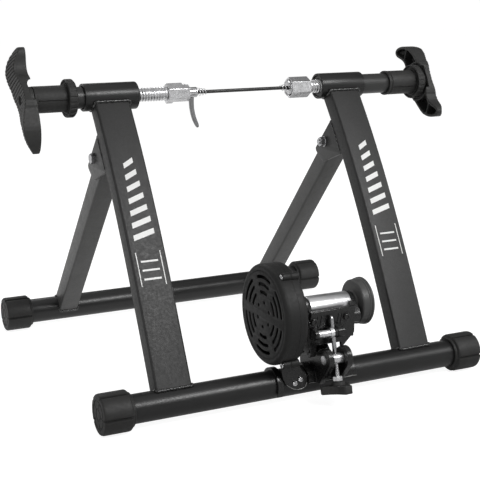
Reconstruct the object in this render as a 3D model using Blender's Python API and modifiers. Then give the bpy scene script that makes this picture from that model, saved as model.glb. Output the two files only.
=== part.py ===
"""Wheel-on bike trainer: a folding two-frame stand, two screw clamps with a quick-release
skewer between their cups, and a magnetic roller unit on the lower tube.

All the sizes below are in millimetres in the design frame: X runs along the base tubes,
Y from the tube under the roller to the tube of the folding frame, Z up from the floor.
MM turns them into metres, and ORIGIN is the design point that becomes the model's origin.
"""
import math

import bmesh
import bpy
from mathutils import Euler, Matrix, Vector

MM = 0.001
GAP = 0.3                      # between touching pieces

# ---------------------------------------------------------------- driving dimensions
ORIGIN = (18.05, 207.875, 0.0)    # middle of the whole object, on the floor
FOOT_R = 26.7                  # rubber foot radius, and the height of the tube axes
BAR_R, BAR_WALL = 19.0, 2.0    # base tubes, 38 mm outside
BAR_HALF = 281.0               # half length of a base tube
TRACK = 464.0                  # from one base tube to the other
FOOT_END, FOOT_LEN = 285.0, 42.5
UP_X = 184.0                   # middle plane of uprights and legs
UP_W, UP_T = 50.0, 25.0        # upright section
UP_BOW = 11.2                  # how far the uprights bow outwards
AXLE_Y, AXLE_Z = 221.7, 395.3  # clamp axis, where the wheel axle sits
SLEEVE_R, SLEEVE_BORE = 19.0, 15.4
SLEEVE_IN = {-1: 143.5, 1: 147.5}
SLEEVE_OUT = 221.5
LEG_W = 30.0
PIVOT_Y, PIVOT_Z = 216.0, 311.5
BUSH_R, BUSH_BORE, BUSH_OUT = 15.0, 10.5, 282.0
BUSH_IN = {-1: 145.5, 1: 149.5}
SPINDLE_R = 10.0
SHANK_R, SHANK_BORE = 18.2, 15.7
RIGHT_SHIFT = 34.0             # the right clamp stands this much further out than the left
HANDLE_RIM = {-1: -290.8, 1: 326.9}   # inner rims of the handles
LEFT_CUP_AF, RIGHT_CUP_AF = 25.3, 27.0
UNIT_Y, UNIT_Z = 10.0, 122.0   # roller axis
HOUSING_R = 68.0
ROLLER_R = 16.5
HINGE_Y, HINGE_Z = 18.0, 61.0  # tilt pin of the roller unit
BOLT_X, BOLT_R = 32.0, 3.0      # tension bolt
LOW_Y, LOW_Z = -40.0, 64.5     # lower trunnion of the tension bolt
UPP_Y, UPP_Z = -31.5, 98.0     # upper trunnion

# ---------------------------------------------------------------- scene and materials
for o in list(bpy.data.objects):
    bpy.data.objects.remove(o, do_unlink=True)
for c in list(bpy.data.collections):
    bpy.data.collections.remove(c)
PARTS = bpy.data.collections.new("bike_trainer")
CUTTERS = bpy.data.collections.new("cutters")
bpy.context.scene.collection.children.link(PARTS)
bpy.context.scene.collection.children.link(CUTTERS)


def material(name, colour, roughness, metallic):
    m = bpy.data.materials.new(name)
    m.use_nodes = True
    b = m.node_tree.nodes["Principled BSDF"]
    b.inputs["Base Color"].default_value = (*colour, 1.0)
    b.inputs["Roughness"].default_value = roughness
    b.inputs["Metallic"].default_value = metallic
    return m


GLOSS_BLACK = ("gloss_black", (0.012, 0.012, 0.013), 0.22, 0.0)
SATIN_BLACK = ("satin_black", (0.03, 0.03, 0.032), 0.5, 0.0)
RUBBER = ("black_rubber", (0.035, 0.035, 0.036), 0.8, 0.0)
PLASTIC = ("black_plastic", (0.03, 0.03, 0.031), 0.55, 0.0)
NYLON = ("dark_nylon", (0.05, 0.05, 0.052), 0.5, 0.0)
ZINC = ("zinc_plate", (0.62, 0.63, 0.64), 0.3, 1.0)
STEEL = ("polished_steel", (0.7, 0.7, 0.71), 0.2, 1.0)
CHROME = ("chrome", (0.75, 0.75, 0.76), 0.1, 1.0)
CAST = ("black_casting", (0.02, 0.02, 0.021), 0.4, 0.2)
DARK_STEEL = ("dark_steel", (0.08, 0.08, 0.082), 0.45, 0.8)
MAGNET = ("ferrite_magnet", (0.06, 0.06, 0.065), 0.6, 0.1)


# ---------------------------------------------------------------- helpers
def W(x, y, z):
    """Design point in millimetres to a world point in metres."""
    return Vector(((x - ORIGIN[0]) * MM, (y - ORIGIN[1]) * MM, (z - ORIGIN[2]) * MM))


TO_X = Matrix(((0, 0, 1), (0, 1, 0), (-1, 0, 0)))    # local Z along world X
TO_YZ = Matrix(((0, 0, 1), (1, 0, 0), (0, 1, 0)))    # local X, Y, Z along world Y, Z, X
TO_XZ = Matrix(((1, 0, 0), (0, 0, -1), (0, 1, 0)))   # local X, Y, Z along world X, Z, -Y
UPRIGHT = Matrix.Identity(3)


def put(o, at, rot, cutter=False, mat=None):
    """Links an object, places it, and gives it its material."""
    (CUTTERS if cutter else PARTS).objects.link(o)
    m = rot.to_4x4()
    m.translation = at
    o.matrix_world = m
    if cutter:
        o.hide_render = True
        o.display_type = "WIRE"
    elif mat is not None:
        o.data.materials.clear()
        o.data.materials.append(material(o.name, *mat[1:]))
    return o


def turned(name, outer, at, mat=None, inner=None, rot=TO_X, steps=32, cutter=False):
    """A turned piece. outer and inner are lists of (distance along the axis, radius) with rising
    distance; at is the point of the axis at distance 0. The profile runs down its outer side."""
    me = bpy.data.meshes.new(name)
    bm = bmesh.new()
    prof = [(r, a) for a, r in reversed(outer)]
    if inner is None:
        prof = [(0.0, outer[-1][0])] + prof + [(0.0, outer[0][0])]
    else:
        prof = prof + [(r, a) for a, r in inner]
    vs = [bm.verts.new((r * MM, 0.0, a * MM)) for r, a in prof]
    for a, b in zip(vs, vs[1:]):
        bm.edges.new((a, b))
    if inner is not None:
        bm.edges.new((vs[-1], vs[0]))
    bm.to_mesh(me)
    bm.free()
    o = bpy.data.objects.new(name, me)
    s = o.modifiers.new("turn", "SCREW")
    s.axis = "Z"
    s.angle = 2 * math.pi
    s.steps = s.render_steps = steps
    s.use_merge_vertices = True
    s.merge_threshold = 0.00001
    s.use_smooth_shade = True
    return put(o, at, rot, cutter, mat)


def ring(name, x0, x1, r_out, r_in, yz, mat=None, steps=32, ch=0.0, cutter=False):
    """A plain ring or sleeve along X with optional chamfers on its outer edges."""
    x0, x1 = min(x0, x1), max(x0, x1)
    n = x1 - x0
    outer = [(0, r_out - ch), (ch, r_out), (n - ch, r_out), (n, r_out - ch)] if ch else [(0, r_out), (n, r_out)]
    inner = [(0, r_in), (n, r_in)] if r_in else None
    return turned(name, outer, W(x0, *yz), mat, inner, steps=steps, cutter=cutter)


def to_mesh(o, mat=None, cutter=False):
    """Turns a curve object into a mesh object with welded caps, in the same place."""
    bpy.context.view_layer.update()
    dg = bpy.context.evaluated_depsgraph_get()
    me = bpy.data.meshes.new_from_object(o.evaluated_get(dg))
    bm = bmesh.new()
    bm.from_mesh(me)
    bmesh.ops.remove_doubles(bm, verts=bm.verts, dist=0.00001)
    bmesh.ops.recalc_face_normals(bm, faces=bm.faces)
    bm.to_mesh(me)
    bm.free()
    name, mw, curve = o.name, o.matrix_world.copy(), o.data
    bpy.data.objects.remove(o, do_unlink=True)
    bpy.data.curves.remove(curve)
    new = bpy.data.objects.new(name, me)
    put(new, mw.to_translation(), mw.to_3x3(), cutter, mat)
    return new


def plate(name, pts, depth, at, rot, mat=None, holes=(), cutter=False):
    """A flat outline (millimetres) with holes, extruded to a total depth about its own plane."""
    cu = bpy.data.curves.new(name, "CURVE")
    cu.dimensions = "2D"
    cu.fill_mode = "BOTH"
    cu.extrude = depth / 2 * MM
    for loop in (pts, *holes):
        sp = cu.splines.new("POLY")
        sp.points.add(len(loop) - 1)
        for p, q in zip(sp.points, loop):
            p.co = (q[0] * MM, q[1] * MM, 0.0, 1.0)
        sp.use_cyclic_u = True
    o = bpy.data.objects.new(name, cu)
    put(o, at, rot, cutter)
    return to_mesh(o, mat, cutter)


def plate_yz(name, pts, x0, x1, mat=None, origin=(0.0, 0.0), holes=(), cutter=False):
    """An outline given in (Y, Z), extruded from x0 to x1; the object's origin is at origin."""
    oy, oz = origin
    move = lambda loop: [(p[0] - oy, p[1] - oz) for p in loop]
    return plate(name, move(pts), abs(x1 - x0), W((x0 + x1) / 2, oy, oz), TO_YZ, mat,
                 [move(h) for h in holes], cutter)


def block(name, x, y, z, mat=None, cutter=False):
    """A box between two limits on each axis."""
    me = bpy.data.meshes.new(name)
    bm = bmesh.new()
    bmesh.ops.create_cube(bm, size=1.0)
    bmesh.ops.scale(bm, vec=((x[1] - x[0]) * MM, (y[1] - y[0]) * MM, (z[1] - z[0]) * MM), verts=bm.verts)
    bm.to_mesh(me)
    bm.free()
    o = bpy.data.objects.new(name, me)
    return put(o, W((x[0] + x[1]) / 2, (y[0] + y[1]) / 2, (z[0] + z[1]) / 2), UPRIGHT, cutter, mat)


def rod(name, r, a, b, mat=None, seg=24, cutter=False, r2=None):
    """A cylinder or cone between two design points."""
    pa, pb = W(*a), W(*b)
    me = bpy.data.meshes.new(name)
    bm = bmesh.new()
    bmesh.ops.create_cone(bm, cap_ends=True, segments=seg, radius1=r * MM,
                          radius2=(r if r2 is None else r2) * MM, depth=(pb - pa).length)
    bm.to_mesh(me)
    bm.free()
    o = bpy.data.objects.new(name, me)
    rot = (pb - pa).to_track_quat("Z", "Y").to_matrix()
    return put(o, (pa + pb) / 2, rot, cutter, mat)


def boolean(o, other, op="DIFFERENCE"):
    m = o.modifiers.new(op.lower(), "BOOLEAN")
    m.operation = op
    m.object = other
    m.solver = "EXACT"
    return o


def cut(o, *others):
    for c in others:
        boolean(o, c)
    return o


def join(o, *others):
    for c in others:
        boolean(o, c, "UNION")
    return o


def round_edges(o, width, segments=2, angle=40):
    m = o.modifiers.new("round", "BEVEL")
    m.width = width * MM
    m.segments = segments
    m.limit_method = "ANGLE"
    m.angle_limit = math.radians(angle)
    return o


def arc(cx, cy, r, a0, a1, n):
    """n + 1 points on an arc, angles in degrees."""
    return [(cx + r * math.cos(math.radians(a0 + (a1 - a0) * i / n)),
             cy + r * math.sin(math.radians(a0 + (a1 - a0) * i / n))) for i in range(n + 1)]


def circle(cx, cy, r, n=24, start=0.0):
    return [(cx + r * math.cos(2 * math.pi * i / n + start), cy + r * math.sin(2 * math.pi * i / n + start))
            for i in range(n)]


def hexagon(af, start=0.0):
    return circle(0, 0, af / 2 / math.cos(math.pi / 6), 6, start)


def hull(*circles, n=20):
    """Outline round several circles (cx, cy, r)."""
    pts = sorted(set((round(x, 4), round(y, 4)) for c in circles for x, y in circle(*c, n)))

    def half(seq):
        out = []
        for p in seq:
            while len(out) > 1 and ((out[-1][0] - out[-2][0]) * (p[1] - out[-2][1])
                                    - (out[-1][1] - out[-2][1]) * (p[0] - out[-2][0])) <= 1e-9:
                out.pop()
            out.append(p)
        return out[:-1]
    return half(pts) + half(pts[::-1])


def star(centre, *polys):
    """Outline round several convex polygons that all hold the centre."""
    def reach(poly, a):
        dx, dy = math.cos(a), math.sin(a)
        best = 0.0
        for p, q in zip(poly, poly[1:] + poly[:1]):
            ex, ey = q[0] - p[0], q[1] - p[1]
            den = dx * ey - dy * ex
            if abs(den) < 1e-12:
                continue
            wx, wy = p[0] - centre[0], p[1] - centre[1]
            r = (wx * ey - wy * ex) / den
            t = (wx * dy - wy * dx) / den
            if r > 0 and -1e-9 <= t <= 1 + 1e-9:
                best = max(best, r)
        return best
    found = [v for poly in polys for v in poly]
    for i, a in enumerate(polys):
        for b in polys[i + 1:]:
            for p, q in zip(a, a[1:] + a[:1]):
                for u, v in zip(b, b[1:] + b[:1]):
                    ex, ey, fx, fy = q[0] - p[0], q[1] - p[1], v[0] - u[0], v[1] - u[1]
                    den = ex * fy - ey * fx
                    if abs(den) < 1e-12:
                        continue
                    t = ((u[0] - p[0]) * fy - (u[1] - p[1]) * fx) / den
                    w = ((u[0] - p[0]) * ey - (u[1] - p[1]) * ex) / den
                    if 0 <= t <= 1 and 0 <= w <= 1:
                        found.append((p[0] + ex * t, p[1] + ey * t))
    out = []
    for x, y in found:
        ang = math.atan2(y - centre[1], x - centre[0])
        r = math.hypot(x - centre[0], y - centre[1])
        if r >= max(reach(poly, ang) for poly in polys) - 1e-6:
            out.append((ang, x, y))
    out.sort()
    keep = []
    for ang, x, y in out:
        if not keep or math.hypot(x - keep[-1][0], y - keep[-1][1]) > 0.3:
            keep.append((x, y))
    return keep


# ---------------------------------------------------------------- base tubes and feet
def tube(name, y):
    """A 38 mm tube, open at both ends."""
    return ring(name, -BAR_HALF, BAR_HALF, BAR_R, BAR_R - BAR_WALL, (y, FOOT_R), GLOSS_BLACK, 40)


tube("rear_base_tube", 0.0)
tube("front_base_tube", TRACK)


def foot_outline():
    """Five raised pads round the foot with grooves between; the lowest pad has a flat at floor level."""
    pts = []
    for k in range(5):
        g = 36.0 + 72.0 * k
        pts += [(24.6, g - 2.6), (24.6, g + 2.6)]
        if k == 3:
            pts += [(26.7, g + 2.9), (26.7 / math.cos(math.radians(6)), 264.0),
                    (26.7 / math.cos(math.radians(6)), 276.0), (26.7, 288.0), (26.7, 304.0), (26.7, g + 69.1)]
        else:
            pts += [(26.7, g + 2.9 + 66.2 * i / 4) for i in range(5)]
    return [(r * math.cos(math.radians(a)), r * math.sin(math.radians(a))) for r, a in pts]


def foot(name, side, y):
    x0, x1 = sorted((side * (FOOT_END - FOOT_LEN), side * FOOT_END))
    pts = [(p[0] + y, p[1] + FOOT_R) for p in foot_outline()]
    o = plate_yz(name, pts, x0, x1, RUBBER, (y, FOOT_R))
    m = round_edges(o, 1.6, 1, 80).modifiers["round"]
    m.harden_normals = False
    a, b = side * (FOOT_END - FOOT_LEN - 5), side * (BAR_HALF + GAP)
    return cut(o, ring(name + "_bore", a, b, BAR_R + GAP, 0, (y, FOOT_R), steps=28, cutter=True))


for label, y in (("rear", 0.0), ("front", TRACK)):
    foot(label + "_left_foot", -1, y)
    foot(label + "_right_foot", 1, y)

# ---------------------------------------------------------------- uprights
UP_LEN = math.hypot(AXLE_Y, AXLE_Z - FOOT_R)
UT = (AXLE_Y / UP_LEN, (AXLE_Z - FOOT_R) / UP_LEN)
UN = (-UT[1], UT[0])                 # outwards, away from the folding frame


def up_point(s, off):
    """Point of the upright's side view at fraction s of its length, off from its bowed middle line."""
    bow = UP_BOW * 4 * s * (1 - s) * (1 + 0.55 * (s - 0.5))
    return (s * UP_LEN * UT[0] + (bow + off) * UN[0], FOOT_R + s * UP_LEN * UT[1] + (bow + off) * UN[1])


def up_outline(t, lo=0.0, hi=1.0, n=9):
    return ([up_point(lo + (hi - lo) * i / n, t) for i in range(n + 1)]
            + [up_point(hi - (hi - lo) * i / n, -t) for i in range(n + 1)])


def upright(name, side):
    x = side * UP_X
    o = plate_yz(name, up_outline(UP_T / 2), x - UP_W / 2, x + UP_W / 2, SATIN_BLACK)
    round_edges(o, 2.4, 1, 60)
    return cut(
        o,
        plate_yz(name + "_hollow", up_outline(UP_T / 2 - 2, -0.02, 1.02), x - UP_W / 2 + 2, x + UP_W / 2 - 2, cutter=True),
        ring(name + "_cope_low", x - 40, x + 40, BAR_R + GAP, 0, (0, FOOT_R), steps=40, cutter=True),
        ring(name + "_cope_high", x - 40, x + 40, SLEEVE_R + GAP, 0, (AXLE_Y, AXLE_Z), steps=40, cutter=True))


upright("left_upright", -1)
upright("right_upright", 1)


# ---------------------------------------------------------------- clamp sleeves and their guide bushes
AXIS = (AXLE_Y, AXLE_Z)
for label, side in (("left", -1), ("right", 1)):
    ring(label + "_sleeve", side * SLEEVE_IN[side], side * SLEEVE_OUT, SLEEVE_R, SLEEVE_BORE, AXIS,
         GLOSS_BLACK, 32)
    ring(label + "_guide_bush", side * BUSH_IN[side], side * BUSH_OUT, BUSH_R, BUSH_BORE, AXIS, NYLON, 32)


# ---------------------------------------------------------------- fold brackets, bolts, legs
def back_face(z):
    """Fraction along the upright at which its back face is at height z."""
    lo, hi = 0.5, 1.0
    for _ in range(50):
        mid = (lo + hi) / 2
        if up_point(mid, -UP_T / 2)[1] < z:
            lo = mid
        else:
            hi = mid
    return lo


S_LOW, S_HIGH = back_face(299.2), back_face(346.0)


def bracket(name, side):
    """A folded channel on the back of the upright: web against the upright, a cheek on each side."""
    x = side * UP_X
    edge = [up_point(S_LOW + (S_HIGH - S_LOW) * i / 5, -UP_T / 2 - GAP) for i in range(6)]
    outer = edge + [(242.5, 298.5), (241.0, 294.0), (236.5, 290.5), (222.5, 281.4), (218.0, 280.6), (213.5, 281.6)]
    o = plate_yz(name, outer, x - UP_W / 2, x + UP_W / 2, SATIN_BLACK)
    web = [up_point(S_LOW - 0.03 + (S_HIGH - S_LOW + 0.06) * i / 5, -UP_T / 2 - GAP - 3.0) for i in range(6)]
    inside = web + [(262.0, 330.0), (262.0, 262.0), (170.0, 262.0)]
    cut(o, plate_yz(name + "_channel", inside, x - UP_W / 2 + 3, x + UP_W / 2 - 3, cutter=True),
        rod(name + "_hole", 4.3, (x - 40, PIVOT_Y, PIVOT_Z), (x + 40, PIVOT_Y, PIVOT_Z), cutter=True))
    return o


LEG_D = Vector((TRACK - PIVOT_Y, FOOT_R - PIVOT_Z)).normalized()
LEG_N = Vector((-LEG_D.y, LEG_D.x))
LEG_LEN = math.hypot(TRACK - PIVOT_Y, FOOT_R - PIVOT_Z)


def leg_point(along, across):
    p = Vector((PIVOT_Y, PIVOT_Z)) + LEG_D * along + LEG_N * across
    return (p.x, p.y)


def leg(name, side):
    """A 30 mm square tube: round end on the pivot, coped to the front base tube."""
    x = side * UP_X
    h = LEG_W / 2
    out = [leg_point(LEG_LEN, -h), leg_point(LEG_LEN, h)]
    out += [leg_point(-h * math.sin(t), h * math.cos(t)) for t in [math.pi * i / 10 for i in range(11)]]
    o = plate_yz(name, out, x - h, x + h, SATIN_BLACK, (PIVOT_Y, PIVOT_Z))
    round_edges(o, 2.2, 1, 60)
    i = h - 2
    core = [leg_point(-40, -i), leg_point(LEG_LEN + 10, -i), leg_point(LEG_LEN + 10, i), leg_point(-40, i)]
    return cut(
        o,
        plate_yz(name + "_hollow", core, x - i, x + i, cutter=True),
        rod(name + "_hole", 7.3, (x - 40, PIVOT_Y, PIVOT_Z), (x + 40, PIVOT_Y, PIVOT_Z), cutter=True),
        ring(name + "_cope", x - 40, x + 40, BAR_R + GAP, 0, (TRACK, FOOT_R), steps=40, cutter=True))


def hex_head(name, x0, x1, af, yz, mat=None, cutter=False, start=0.0):
    o = plate(name, hexagon(af, start), abs(x1 - x0), W((x0 + x1) / 2, *yz), TO_YZ, mat, cutter=cutter)
    return o


PIVOT = (PIVOT_Y, PIVOT_Z)
for label, side in (("left", -1), ("right", 1)):
    x = side * UP_X
    bracket(label + "_fold_bracket", side)
    leg(label + "_leg", side)
    ring(label + "_leg_bush", x - 21.6, x + 21.6, 7.0, 4.35, PIVOT, NYLON, 24)
    # the heads are on the outer sides, the nuts on the inner ones
    a, b = sorted((x - side * 36, x + side * 25.6))
    bolt = rod(label + "_pivot_bolt", 4.0, (a, PIVOT_Y, PIVOT_Z), (b, PIVOT_Y, PIVOT_Z), ZINC)
    a, b = sorted((x + side * (25 + GAP), x + side * 30.2))
    join(bolt, hex_head(label + "_pivot_bolt_head", a, b, 13.0, PIVOT, cutter=True))
    a, b = sorted((x - side * (25 + GAP), x - side * (25 + GAP + 1.6)))
    nut = ring(label + "_pivot_nut", a, b, 8.0, 4.6, PIVOT, ZINC, 16)
    join(nut, plate(label + "_pivot_nut_hex", hexagon(13.0), 7.4, W(x - side * (25 + GAP + 4.5), *PIVOT), TO_YZ,
                    holes=[circle(0, 0, 4.3, 12)], cutter=True))


# ---------------------------------------------------------------- clamps: cup, spindle, shank, lock ring, handle
def xrange(side, a, b, shift):
    """Distances along the right clamp, moved to the left one by a shift and a mirror."""
    lo, hi = sorted((side * (a - shift), side * (b - shift)))
    return lo, hi


def shank(name, side, shift, length):
    """A turned shank with a rim ring, hollow over the guide bush, split along one side."""
    outer = [(0, 18.6), (3.2, 18.6), (3.6, 17.3), (5.6, 17.3), (6.0, SHANK_R), (length, SHANK_R)]
    inner = [(0, SHANK_BORE), (51.0, SHANK_BORE), (51.1, SPINDLE_R + GAP), (length, SPINDLE_R + GAP)]
    rot = TO_X if side > 0 else TO_X @ Matrix.Rotation(math.pi, 3, "Y")
    o = turned(name, outer, W(side * (267.0 - shift), *AXIS), PLASTIC, inner, rot=rot, steps=24)
    slit = block(name + "_slit", xrange(side, 272.9, 312.0, shift), (AXLE_Y - 24, AXLE_Y - 12),
                 (AXLE_Z - 0.6, AXLE_Z + 0.6), cutter=True)
    return cut(o, slit)


HALF_S = [(5.2, 27.8), (16.1, 27.8), (25.0, 28.8), (36.4, 29.7), (46.8, 28.8), (58.8, 23.5), (66.6, 17.4), (71.8, 11.0),
          (73.9, 4.6), (71.8, 0.0), (66.6, -1.7), (60.1, -0.5), (53.1, 1.8), (43.2, 2.7), (34.4, -1.8), (29.1, -8.2)]
CROWN = [(-15.6, 16.8), (0, 16.0), (15.6, 16.8), (31.2, 18.8), (43.7, 18.4), (54.1, 16.4), (64.5, 12.4), (73.9, 7.6),
         (83.3, 4.8), (93.0, 3.4)]
TWIST = 0.2 / 45               # how much the outer face leans across the grip, per millimetre along it


def smooth(pts, n=2):
    """A closed Catmull-Rom curve through pts with n steps between neighbours."""
    out = []
    k = len(pts)
    for i in range(k):
        p0, p1, p2, p3 = (Vector(pts[(i + j - 1) % k]) for j in range(4))
        for t in (j / n for j in range(n)):
            q = 0.5 * ((2 * p1) + (p2 - p0) * t + (2 * p0 - 5 * p1 + 4 * p2 - p3) * t * t
                       + (3 * p1 - p0 - 3 * p2 + p3) * t ** 3)
            out.append((q.x, q.y))
    return out


def inset(pts, d):
    """Moves a closed outline inwards by d."""
    area = sum(a[0] * b[1] - b[0] * a[1] for a, b in zip(pts, pts[1:] + pts[:1]))
    sgn = 1.0 if area > 0 else -1.0
    out = []
    for i, p in enumerate(pts):
        a, b = Vector(pts[i - 1]), Vector(pts[(i + 1) % len(pts)])
        t = (b - a).normalized()
        out.append((p[0] - sgn * t.y * d, p[1] + sgn * t.x * d))
    return out


def crown(v):
    """Thickness of the handle at a distance v from its middle: a smooth curve through CROWN."""
    k = CROWN
    v = min(abs(v), k[-2][0])
    for i in range(1, len(k) - 2):
        (x0, y0), (x1, y1), (x2, y2), (x3, y3) = k[i - 1:i + 3]
        if v <= x2:
            t = (v - x1) / (x2 - x1)
            m1 = (y2 - y0) / (x2 - x0) * (x2 - x1)
            m2 = (y3 - y1) / (x3 - x1) * (x2 - x1)
            return ((2 * t ** 3 - 3 * t ** 2 + 1) * y1 + (t ** 3 - 2 * t ** 2 + t) * m1
                    + (3 * t ** 2 - 2 * t ** 3) * y2 + (t ** 3 - t ** 2) * m2)
    return k[-2][1]


def handle(name, side, turn):
    """An S-shaped two-lobed hand grip with a crowned outer face and a ribbed hollow back.
    Its local X runs along the grip, its local Z outwards along the clamp axis."""
    f = math.radians(turn)
    if side > 0:
        rot = Matrix(((0, 0, 1), (math.sin(f), -math.cos(f), 0), (math.cos(f), math.sin(f), 0)))
    else:
        rot = Matrix(((0, 0, -1), (math.sin(f), math.cos(f), 0), (math.cos(f), -math.sin(f), 0)))
    at = W(HANDLE_RIM[side], *AXIS)

    def local(n, pts, z0, z1, cutter=True, mat=None):
        p = at + rot @ Vector((0, 0, (z0 + z1) / 2 * MM))
        return plate(n, pts, z1 - z0, p, rot, mat, cutter=cutter)

    def turned_local(n, outer, inner=None, steps=24):
        return turned(n, outer, at, None, inner, rot=rot, steps=steps, cutter=True)

    def cap(n, drop, us=(-44.0, -15.0, 15.0, 44.0), rows=24):
        """The space under the crowned and twisted outer face, lowered by drop."""
        bm = bmesh.new()
        vs = [-84.0 + 168.0 * i / rows for i in range(rows + 1)]
        top = [[bm.verts.new((v * MM, u * MM, (crown(v) + TWIST * u * v - drop) * MM)) for u in us] for v in vs]
        low = [[bm.verts.new((v * MM, u * MM, -30.0 * MM)) for u in us] for v in vs]
        for i in range(len(vs) - 1):
            for j in range(len(us) - 1):
                a, b, c, d = top[i][j], top[i + 1][j], top[i + 1][j + 1], top[i][j + 1]
                bm.faces.new((a, b, c))
                bm.faces.new((a, c, d))
                bm.faces.new((low[i][j + 1], low[i + 1][j + 1], low[i + 1][j], low[i][j]))
            bm.faces.new((low[i][0], low[i + 1][0], top[i + 1][0], top[i][0]))
            bm.faces.new((top[i][-1], top[i + 1][-1], low[i + 1][-1], low[i][-1]))
        for j in range(len(us) - 1):
            bm.faces.new((top[0][j], top[0][j + 1], low[0][j + 1], low[0][j]))
            bm.faces.new((low[-1][j], low[-1][j + 1], top[-1][j + 1], top[-1][j]))
        bmesh.ops.recalc_face_normals(bm, faces=bm.faces)
        me = bpy.data.meshes.new(n)
        bm.to_mesh(me)
        bm.free()
        return put(bpy.data.objects.new(n, me), at, rot, cutter=True)

    half = HALF_S
    outline = smooth(half + [(-a, -b) for a, b in half], 2)
    rough = half + [(-a, -b) for a, b in half]
    o = local(name, outline, 0, 30, cutter=False, mat=PLASTIC)
    boolean(o, cap(name + "_crown", 0.0), "INTERSECT")
    pocket = local(name + "_pocket", inset(rough, 4.0), -1, 24)
    boolean(pocket, cap(name + "_pocket_floor", 3.4, (-44.0, 44.0), 12), "INTERSECT")
    cut(pocket, turned_local(name + "_hub_wall", [(-3, 30.5), (30, 30.5)]))
    for i, (cx, cy, ang) in enumerate(((48, 13, 75), (-48, -13, 75))):
        bar = local(name + f"_rib{i}", [(-1.1, -30), (1.1, -30), (1.1, 30), (-1.1, 30)], -3, 30)
        bar.matrix_world = bar.matrix_world @ Matrix.Translation((cx * MM, cy * MM, 0)) @ Matrix.Rotation(math.radians(ang - 90), 4, "Z")
        cut(pocket, bar)
    cut(o, pocket,
        turned_local(name + "_ring_seat", [(-1, 27.6), (6.5, 27.6)], [(-1, 18.0), (6.5, 18.0)]),
        turned_local(name + "_bore", [(-1, SPINDLE_R + GAP), (9.8, SPINDLE_R + GAP)]),
        turned_local(name + "_screw_recess", [(12.8, 6.5), (40, 6.5)], steps=16))
    return o


for label, side, shift, turn, length in (("left", -1, RIGHT_SHIFT, 18.6, 57.5), ("right", 1, 0.0, 56.9, 59.6)):
    shank(label + "_shank", side, shift, length)
    handle(label + "_handle", side, turn)

# lock rings: against the sleeve side on the left, backed off to the handle on the right
LOCK = [(0, 25.4), (1.2, 26.2), (9.6, 26.2), (12, 23.8)]
LOCK_IN = [(0, 24.3), (2.8, 23.3), (2.8, 20.9), (0.3, 20.5), (0.3, 18.9), (12, 18.9)]   # with a groove in its face
turned("left_lock_ring", LOCK, W(-245.4, *AXIS), PLASTIC, LOCK_IN, steps=24)
turned("right_lock_ring", LOCK, W(315.5, *AXIS), PLASTIC, LOCK_IN, steps=24)

# spindles with a turned-down end that carries the cup
turned("left_spindle", [(-300.2, SPINDLE_R), (-98.4, SPINDLE_R), (-98.0, 6.0), (-90.4, 6.0)],
       W(0, *AXIS), ZINC, steps=32)
turned("right_spindle", [(123.3, 6.0), (130.6, 6.0), (131.0, SPINDLE_R), (336.0, SPINDLE_R)],
       W(0, *AXIS), ZINC, steps=32)


# cups: hexagon bars across the wheel's axle ends
left_cup = hex_head("left_cup", -97.6, -65.0, LEFT_CUP_AF, AXIS, ZINC, start=math.pi / 6)
cut(left_cup,
    rod("left_cup_journal", 6.4, (-99, *AXIS), (-90.0, *AXIS), cutter=True),
    block("left_cup_lever_slot", (-88.0, -60.0), (AXLE_Y - 4.2, AXLE_Y + 4.2), (AXLE_Z - 20, AXLE_Z + 7), cutter=True),
    block("left_cup_top_notch", (-73.5, -60.0), (AXLE_Y - 4.2, AXLE_Y + 4.2), (AXLE_Z - 1, AXLE_Z + 20), cutter=True))
right_cup = hex_head("right_cup", 99.0, 130.6, RIGHT_CUP_AF, AXIS, ZINC)
cut(right_cup,
    ring("right_cup_socket", 96.0, 119.0, 11.4, 0, AXIS, cutter=True),
    rod("right_cup_mouth", 13.5, (98.4, *AXIS), (101.6, *AXIS), r2=10.9, cutter=True),
    rod("right_cup_journal", 6.4, (121.5, *AXIS), (133.0, *AXIS), cutter=True))

# ---------------------------------------------------------------- quick-release skewer between the cups
rod("skewer_rod", 2.5, (-52.4, *AXIS), (102.6, *AXIS), SATIN_BLACK, 16)
head = turned("skewer_head", [(-64.6, 6.6), (-63.8, 7.4), (-51.4, 7.4), (-50.4, 6.4)], W(0, *AXIS), CHROME, steps=20)
cut(head,
    block("skewer_head_slot", (-66.0, -53.0), (AXLE_Y - 2.9, AXLE_Y + 2.9), (AXLE_Z - 12, AXLE_Z + 6.3), cutter=True),
    rod("skewer_head_bore", 2.8, (-56, *AXIS), (-48, *AXIS), seg=16, cutter=True))
LEVER_X = -58.6                     # cam axis of the lever
arm = arc(0, 0, 5.0, 200, -20, 9) + [(3.4, -8.0), (3.2, -14), (3.6, -22), (5.0, -30), (7.4, -38), (10.6, -45.6),
                                      (11.4, -48.8), (10.2, -51.0), (7.8, -51.0), (5.4, -47.4), (1.6, -40),
                                      (-1.2, -31), (-2.8, -22), (-3.4, -14), (-3.6, -8.0)]
lever = plate("skewer_lever", arm, 5.0, W(LEVER_X, *AXIS), TO_XZ, CHROME)
round_edges(lever, 0.8, 1, 60)
nut = turned("skewer_nut", [(98.0, 8.2), (99.4, 10.4), (102.0, 10.4), (102.4, 6.0), (104.4, 6.0)], W(0, *AXIS), CHROME,
             [(98.0, 4.6), (100.2, 2.85), (104.4, 2.85)], steps=20)


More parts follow.
